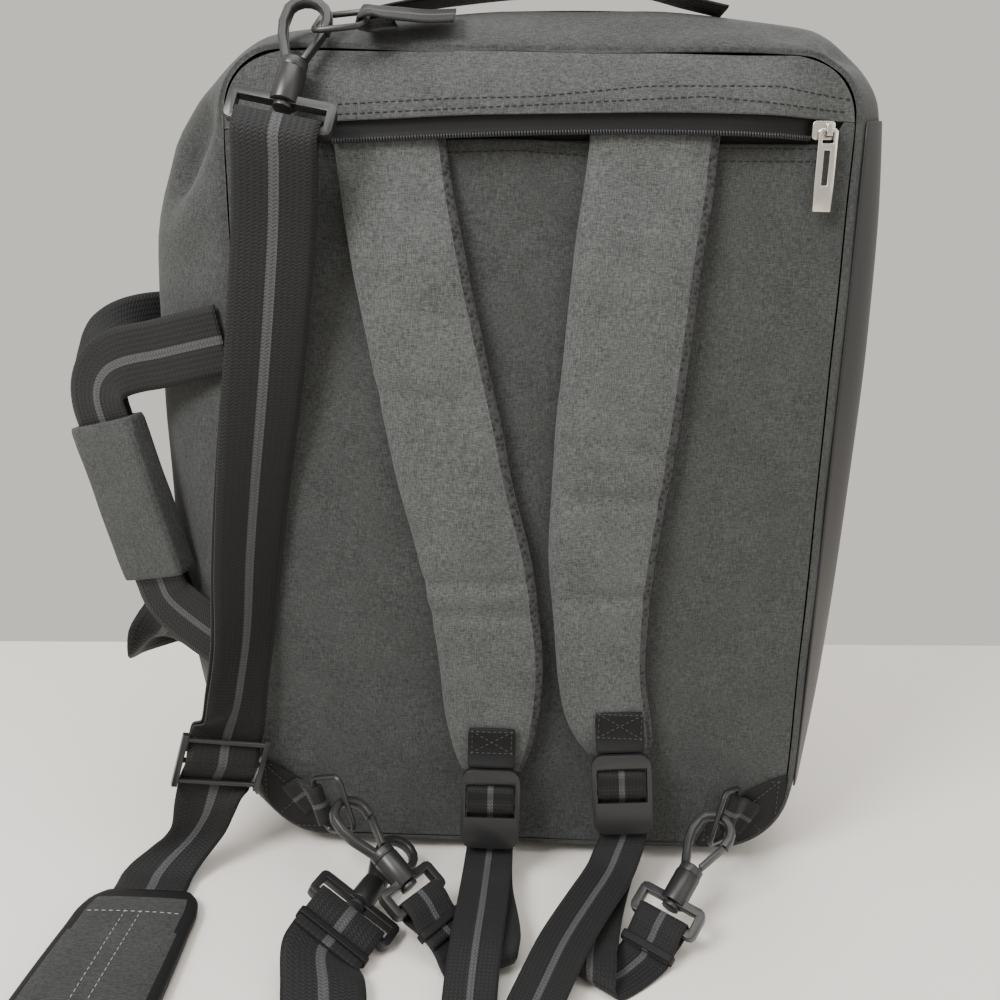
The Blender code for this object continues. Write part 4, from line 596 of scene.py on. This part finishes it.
# Repeated things
def repeat_tree(name, make_item):
    """Node group that sets an item at equal distances along a line."""
    tree = bpy.data.node_groups.new(name, "GeometryNodeTree")
    face = tree.interface
    face.new_socket("Geometry", in_out="INPUT", socket_type="NodeSocketGeometry")
    for label, default in (("Pitch", 0.003), ("Length", 0.002), ("Thickness", 0.0006)):
        socket = face.new_socket(label, in_out="INPUT", socket_type="NodeSocketFloat")
        socket.default_value = default
    face.new_socket("Finish", in_out="INPUT", socket_type="NodeSocketMaterial")
    face.new_socket("Geometry", in_out="OUTPUT", socket_type="NodeSocketGeometry")
    entry = tree.nodes.new("NodeGroupInput")
    close = tree.nodes.new("NodeGroupOutput")
    line = add(tree, "GeometryNodeMeshToCurve", {"Mesh": entry.outputs["Geometry"]})
    even = add(tree, "GeometryNodeResampleCurve", {"Curve": line.outputs[0], "Length": entry.outputs["Pitch"]},
               mode="LENGTH")
    run = add(tree, "GeometryNodeInputTangent")
    turn = add(tree, "FunctionNodeAlignRotationToVector", {"Vector": run.outputs[0]}, axis="X", pivot_axis="AUTO")
    item = make_item(tree, entry)
    spread = add(tree, "GeometryNodeInstanceOnPoints", {"Points": even.outputs[0], "Instance": item,
                                                        "Rotation": turn.outputs[0]})
    real = add(tree, "GeometryNodeRealizeInstances", {"Geometry": spread.outputs[0]})
    dressed = add(tree, "GeometryNodeSetMaterial", {"Geometry": real.outputs[0],
                                                    "Material": entry.outputs["Finish"]})
    tree.links.new(dressed.outputs[0], close.inputs[0])
    return tree


def stitch_item(tree, entry):
    """Short round thread lying along its line."""
    ball = add(tree, "GeometryNodeMeshIcoSphere", {"Radius": 0.5, "Subdivisions": 2})
    size = add(tree, "ShaderNodeCombineXYZ", {0: entry.outputs["Length"], 1: entry.outputs["Thickness"],
                                              2: entry.outputs["Thickness"]})
    return add(tree, "GeometryNodeTransform", {"Geometry": ball.outputs[0], "Scale": size.outputs[0]}).outputs[0]


def tooth_item(tree, entry):
    """One turn of a zip's coil, across its line."""
    bar = add(tree, "GeometryNodeMeshCube", {"Size": (1.0, 1.0, 1.0)})
    size = add(tree, "ShaderNodeCombineXYZ", {0: entry.outputs["Thickness"], 1: entry.outputs["Thickness"],
                                              2: entry.outputs["Length"]})
    return add(tree, "GeometryNodeTransform", {"Geometry": bar.outputs[0], "Scale": size.outputs[0]}).outputs[0]


TREES = {}


def repeated(name, kind, lines, pitch, length, thickness, finish):
    """Stitches or coil turns along lines of points, as one plain mesh."""
    mesh = bpy.data.meshes.new(name)
    points, edges = [], []
    for line in lines:
        start = len(points)
        points += [tuple(p) for p in line]
        edges += [(start + k, start + k + 1) for k in range(len(line) - 1)]
    mesh.from_pydata(points, edges, [])
    piece = placed(name, mesh, [])
    worker = piece.modifiers.new("Repeat", "NODES")
    worker.node_group = TREES[kind]
    names = {item.name: item.identifier for item in TREES[kind].interface.items_tree if item.in_out == "INPUT"}
    for label, value in (("Pitch", pitch), ("Length", length), ("Thickness", thickness), ("Finish", finish)):
        worker[names[label]] = value
    solved(piece)
    piece.data.shade_smooth()
    return piece


def tree_of(pieces):
    """Surface of several pieces, to lay stitches on."""
    points, faces = [], []
    for piece in pieces:
        start = len(points)
        points += [v.co.copy() for v in piece.data.vertices]
        faces += [[start + i for i in polygon.vertices] for polygon in piece.data.polygons]
    return BVHTree.FromPolygons(points, faces)


def laid(surface, line, way=(0.0, 1.0, 0.0), step=0.003):
    """Points of a line dropped on a surface, along a direction."""
    way = Vector(way).normalized()
    found = []
    for a, b in zip(line, line[1:]):
        a, b = Vector(a), Vector(b)
        parts = max(1, round((b - a).length / step))
        for k in range(parts + 1):
            at = a.lerp(b, k / parts)
            hit = surface.ray_cast(at - way, way)[0]
            if hit is not None:
                found.append(hit - way * STITCH_LIFT)
    return found


def flat_line(points):
    """Points in space from a line given by x and z."""
    return [(x, 0.0, z) for x, z in points]


def coil_edge(node, low):
    """Line along the outer corner of a zip tape's coil side."""
    shape = merged(node)
    columns = []
    for at in sorted((v.co.copy() for v in shape.verts), key=lambda p: p.x):
        if columns and at.x - columns[-1][-1].x < COLUMN_GAP:
            columns[-1].append(at)
        else:
            columns.append([at])
    shape.free()
    line = []
    for column in columns:
        x = sum(p.x for p in column) / len(column)
        end = min(p.z for p in column) if low else max(p.z for p in column)
        near = [p for p in column if abs(p.z - end) < COIL_BAND]
        line.append(Vector((x, min(p.y for p in near) - STITCH_LIFT, end + (COIL_HALF if low else -COIL_HALF))))
    return line


# Pads
def pad_rows(node, count, axis):
    """Middle, half width and half depth of each ring of a pad; axis is 2 where it hangs, 1 where it lies."""
    shape = merged(node)
    levels = {}
    for vertex in shape.verts:
        levels.setdefault(round(vertex.co[axis], 4), []).append(vertex.co.copy())
    shape.free()
    deep_axis = 1 if axis == 2 else 2
    rows = []
    for level in sorted(levels, reverse=True):
        ring = levels[level]
        if len(ring) != count:
            raise RuntimeError(node + " has an odd ring")
        low_x, high_x = min(p.x for p in ring), max(p.x for p in ring)
        low, high = min(p[deep_axis] for p in ring), max(p[deep_axis] for p in ring)
        middle = Vector(((low_x + high_x) / 2, 0.0, 0.0))
        middle[axis] = ring[0][axis]
        middle[deep_axis] = (low + high) / 2
        rows.append((*middle, (high_x - low_x) / 2, (high - low) / 2))
    return rows


def pad(name, node, count, axis, finishes, step=0.003, bound=False):
    """Padded strip: a crowned face, rolled edges and an under side of its own fabric."""
    rows = sampled(pad_rows(node, count, axis), step)
    face_way = -1.0 if axis == 2 else 1.0
    deep_axis = 1 if axis == 2 else 2
    shape = bmesh.new()
    angles = [2 * math.pi * k / (2 * PAD_COLUMNS) for k in range(2 * PAD_COLUMNS)]
    rings = []
    for row in rows:
        middle, half, deep = Vector(row[:3]), row[3], row[4]
        ring = []
        for angle in angles:
            c, s = math.cos(angle), math.sin(angle)
            wide = math.copysign(abs(c) ** (2 / PAD_ROLL), c)
            thick = math.copysign(abs(s) ** (2 / PAD_ROLL), s)
            at = middle.copy()
            at.x += half * wide
            at[deep_axis] += deep * thick * face_way
            ring.append(shape.verts.new(at))
        rings.append(ring)
    size = len(angles)
    total = len(rings)
    length = abs(rows[0][axis] - rows[-1][axis])
    for i in range(total - 1):
        for j in range(size):
            k = (j + 1) % size
            face = shape.faces.new((rings[i][j], rings[i][k], rings[i + 1][k], rings[i + 1][j]))
            face.smooth = True
            turn = angles[j] + math.pi / size
            # On each pad's right side the dark mesh runs up the edge: partly the real under side, partly painted
            # shade on the side away from the key light.
            under = math.sin(turn) < (RIGHT_MESH_AND_SHADE if math.cos(turn) > 0 and not bound else -PAD_UNDER)
            face.material_index = 1 if under else 0
            if bound:
                row = rows[i]
                inward = row[3] - abs(face.calc_center_median().x - row[0])
                end = min(abs(row[axis] - rows[0][axis]), length - abs(row[axis] - rows[0][axis]))
                face.material_index = 1 if under or inward < BINDING or end < BINDING else 0
    for ring in (rings[0], rings[-1]):
        face = shape.faces.new(ring)
        face.material_index = 1 if bound else 0
    bmesh.ops.recalc_face_normals(shape, faces=shape.faces)
    return placed(name, drawn(name, shape), finishes)


def stitch_grid(piece, corners, inset=0.0025):
    """Lines of a sewn box inside four corners, with its diagonals, laid on a piece."""
    surface = tree_of([piece])
    corners = [Vector(c) for c in corners]
    middle = sum(corners, Vector()) / 4
    corners = [c + (middle - c).normalized() * inset for c in corners]
    pairs = [(0, 1), (1, 2), (2, 3), (3, 0), (0, 2), (1, 3)]
    lines = [laid(surface, [corners[a], corners[b]]) for a, b in pairs]
    return [line for line in lines if len(line) > 1]


def face_corners(node, share_low=0.0, share_high=1.0):
    """Corners of a node's box as seen from the front, at shares of its height."""
    low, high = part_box(node)
    bottom = low.z + (high.z - low.z) * share_low
    top = low.z + (high.z - low.z) * share_high
    return [(low.x, 0, bottom), (high.x, 0, bottom), (high.x, 0, top), (low.x, 0, top)]


# Operators
class BACKPACK_OT_stage(bpy.types.Operator):
    """Pale table, soft light and the photograph's camera"""

    bl_idname = "backpack.stage"
    bl_label = "Stage and Camera"

    def execute(self, context):
        floor_finish, _, _ = shader("pale table", 0.5, colour=(0.86, 0.82, 0.765), specular=0.3)
        reach = TABLE_REACH
        corners = [(-reach, -reach, 0), (reach, -reach, 0),
                   (reach, TABLE_END_RIGHT, 0), (-reach, TABLE_END_LEFT, 0)]
        mesh = bpy.data.meshes.new("table")
        mesh.from_pydata(corners, [], [(0, 1, 2, 3)])
        placed("table", mesh, [floor_finish])
        world = bpy.data.worlds.new("soft room")
        world.use_nodes = True
        world.node_tree.nodes["Background"].inputs["Color"].default_value = ROOM_COLOUR
        world.node_tree.nodes["Background"].inputs["Strength"].default_value = ROOM_STRENGTH
        context.scene.world = world
        for name, place, size, power in LAMPS:
            lamp = bpy.data.lights.new(name, "AREA")
            lamp.size = size
            lamp.energy = power
            holder = bpy.data.objects.new(name, lamp)
            holder.location = place
            holder.rotation_euler = (LAMP_TARGET - Vector(place)).to_track_quat("-Z", "Y").to_euler()
            context.scene.collection.objects.link(holder)
        camera = bpy.data.cameras.new("photo camera")
        camera.lens = CAMERA_LENS
        camera.sensor_width = CAMERA_LENS
        camera.clip_start = 0.01
        holder = bpy.data.objects.new("photo camera", camera)
        back = CAMERA_BACK.normalized()
        right = CAMERA_UP.cross(back).normalized()
        up = back.cross(right)
        turn = Matrix((right, up, back)).transposed().to_4x4()
        holder.matrix_world = Matrix.Translation(CAMERA_PLACE) @ turn
        context.scene.collection.objects.link(holder)
        context.scene.camera = holder
        return {"FINISHED"}


class BACKPACK_OT_bag(bpy.types.Operator):
    """Front and gusset, back panel, yoke, smooth side and their seams"""

    bl_idname = "backpack.bag"
    bl_label = "Bag"

    def execute(self, context):
        cloth = FINISHES["cloth"]
        low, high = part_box("main_shell")
        middle = (low + high) / 2
        settled(softened("bag_body", "main_shell", cloth, 2, folds=BAG_FOLDS, ripple=0.0016, ripple_size=0.06,
                         hollow=middle), ["main_shell"])
        settled(softened("inner_wall", "back_wall", cloth, 2), ["back_wall"])
        panel = settled(softened("pocket_face", "pocket_panel", cloth, 3, folds=PANEL_FOLDS, ripple=0.0010,
                                 ripple_size=0.06, hollow=middle), ["pocket_panel"])
        # The yoke wears the lighter copy of the cloth: painted light on its slope.
        yoke = settled(softened("yoke_face", "pocket_yoke", FINISHES["yoke cloth painted light"], 3, ripple=0.0006,
                                hollow=middle), ["pocket_yoke"])
        settled(softened("smooth_side", "vinyl_side", FINISHES["vinyl"], 2), ["vinyl_side"])
        settled(softened("body_zip", "main_zip", FINISHES["coil"], 2), ["main_zip"])
        settled(softened("zip_end_fold", "zip_end_tab", cloth, 2), ["zip_end_tab"])
        settings = context.scene.backpack
        for tag, piece, lines in (("yoke", yoke, [YOKE_STITCH, LIP_STITCH]), ("pocket", panel, POCKET_STITCHES)):
            surface = tree_of([piece])
            rows = [laid(surface, flat_line(line)) for line in lines]
            made = repeated(tag + "_stitches", "stitch", [row for row in rows if len(row) > 1],
                            settings.stitch_length, settings.stitch_length * 0.72, 0.00055, FINISHES["thread"])
            trimmed(made, "bag")
        return {"FINISHED"}


class BACKPACK_OT_zip(bpy.types.Operator):
    """Zip of the strap pocket with its coil, slider and pull"""

    bl_idname = "backpack.zip"
    bl_label = "Pocket Zip"

    def execute(self, context):
        settings = context.scene.backpack
        for node, low in (("zip_tape_upper", True), ("zip_tape_lower", False)):
            settled(softened(node + "_cloth", node, FINISHES["band"], 2), [node])
            edge = coil_edge(node, low)
            made = repeated(node + "_coil", "tooth", [edge], settings.coil_pitch, COIL_LENGTH,
                            COIL_THICKNESS, FINISHES["coil"])
            trimmed(made, "bag")
        moulded("slider", "zip_slider", FINISHES["metal"], 0.0004)
        moulded("pull", "zip_pull", FINISHES["metal"], 0.0004)
        return {"FINISHED"}


class BACKPACK_OT_pads(bpy.types.Operator):
    """Shoulder pads and the sling strap's pad"""

    bl_idname = "backpack.pads"
    bl_label = "Pads"

    def execute(self, context):
        settings = context.scene.backpack
        for side in ("left", "right"):
            node = "pad_" + side
            piece = pad("shoulder_" + node, node, 8, 2, [FINISHES["pad cloth"], FINISHES["mesh"]])
            pressed(piece.data, PAD_FOLDS[node], 0.0005, 0.03)
            settled(piece, [node])
        piece = pad("sling_cushion", "sling_pad", 10, 1, [FINISHES["sling cloth"], FINISHES["band"]], bound=True)
        low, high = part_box("sling_pad")
        middle = (low.x + high.x) / 2
        settled(piece, ["sling_pad"])
        surface = tree_of([piece])
        top = high.y - CUSHION_END
        bottom = low.y + CUSHION_END
        rows = [[(middle - CUSHION_HALF, top, 0.2), (middle + CUSHION_HALF, top, 0.2)]]
        rows += [[(middle + side * CUSHION_ROW, end, 0.2) for end in (top, bottom)] for side in (-1, 1)]
        lines = [laid(surface, row, (0, 0, -1)) for row in rows]
        made = repeated("sling_cushion_stitches", "stitch", lines, settings.stitch_length,
                        settings.stitch_length * 0.7, 0.0005, FINISHES["pale thread"])
        trimmed(made, "bag")
        return {"FINISHED"}


class BACKPACK_OT_webbing(bpy.types.Operator):
    """Straps, handles, tabs, loops and keepers"""

    bl_idname = "backpack.webbing"
    bl_label = "Webbing"

    def execute(self, context):
        striped = ("strap_left", "strap_right", "sling_strap_front", "sling_strap_back", "side_handle_back",
                   "side_handle_front", "corner_left_loop", "corner_right_loop", "top_loop")
        for node in striped:
            settled(ribbon(node + "_web", node, FINISHES["web"]), [node])
        settled(ribbon("top_handle_web", "top_handle", FINISHES["tape"]), ["top_handle"])
        bands = {}
        for node in ("pad_tab_left", "pad_tab_right", "keeper_left", "keeper_right", "keeper_sling",
                     "corner_patch_left", "corner_patch_right"):
            bands[node] = settled(softened(node + "_band", node, FINISHES["band"], 2), [node])
        lines = []
        for side in ("left", "right"):
            tab, patch = "pad_tab_" + side, "corner_patch_" + side
            lines += stitch_grid(bands[tab], face_corners(tab, 0.30, 0.97))
            lines += stitch_grid(bands[patch], face_corners(patch), inset=0.006)
        settings = context.scene.backpack
        trimmed(repeated("band_stitches", "stitch", lines, settings.stitch_length * 0.8,
                         settings.stitch_length * 0.6, 0.0006, FINISHES["dark stitch"]), "bag")
        settled(softened("handle_wrap", "side_handle_grip", FINISHES["cloth"], 3, crease=0.5, ripple=0.0005,
                        ripple_size=0.02), ["side_handle_grip"])
        return {"FINISHED"}


class BACKPACK_OT_fittings(bpy.types.Operator):
    """Ladder locks, hooks, rings and the sling slider"""

    bl_idname = "backpack.fittings"
    bl_label = "Fittings"

    def execute(self, context):
        for side in ("left", "right"):
            moulded("lock_" + side, "ladder_lock_" + side, FINISHES["plastic"], 0.0006)
            moulded("ring_" + side, "corner_" + side + "_ring", FINISHES["plastic"], 0.0003)
        for tag in ("hook_left", "hook_right", "sling_hook_top", "sling_hook_free"):
            moulded(tag + "_frame", tag + "_base", FINISHES["plastic"], 0.0005)
            moulded(tag + "_body", tag, FINISHES["hook"], 0.0005)
            moulded(tag + "_lever", tag + "_gate", FINISHES["hook"], 0.0003)
        moulded("ring_top", "top_ring", FINISHES["plastic"], 0.0003)
        moulded("slide_bar", "sling_slider", FINISHES["plastic"], 0.0004)
        return {"FINISHED"}


class BACKPACK_PT_panel(bpy.types.Panel):
    """Steps of the backpack, in order"""

    bl_idname = "BACKPACK_PT_panel"
    bl_label = "Backpack"
    bl_space_type = "VIEW_3D"
    bl_region_type = "UI"
    bl_category = "Backpack"

    def draw(self, context):
        settings = context.scene.backpack
        for name in BackpackSettings.__annotations__:
            self.layout.prop(settings, name)
        for step in STEPS:
            self.layout.operator(step.bl_idname)


STEPS = (BACKPACK_OT_stage, BACKPACK_OT_bag, BACKPACK_OT_zip, BACKPACK_OT_pads, BACKPACK_OT_webbing,
         BACKPACK_OT_fittings)
CLASSES = (BackpackSettings, *STEPS, BACKPACK_PT_panel)


def register():
    for kind in CLASSES:
        bpy.utils.register_class(kind)
    bpy.types.Scene.backpack = PointerProperty(type=BackpackSettings)


def unregister():
    del bpy.types.Scene.backpack
    for kind in reversed(CLASSES):
        bpy.utils.unregister_class(kind)


def main():
    """Every step in order."""
    register()
    FINISHES.update(make_finishes(bpy.context.scene.backpack))
    TREES["stitch"] = repeat_tree("Stitches", stitch_item)
    TREES["tooth"] = repeat_tree("Zip coil", tooth_item)
    for step in STEPS:
        space, call = step.bl_idname.split(".")
        getattr(getattr(bpy.ops, space), call)()


if __name__ == "__main__":
    main()
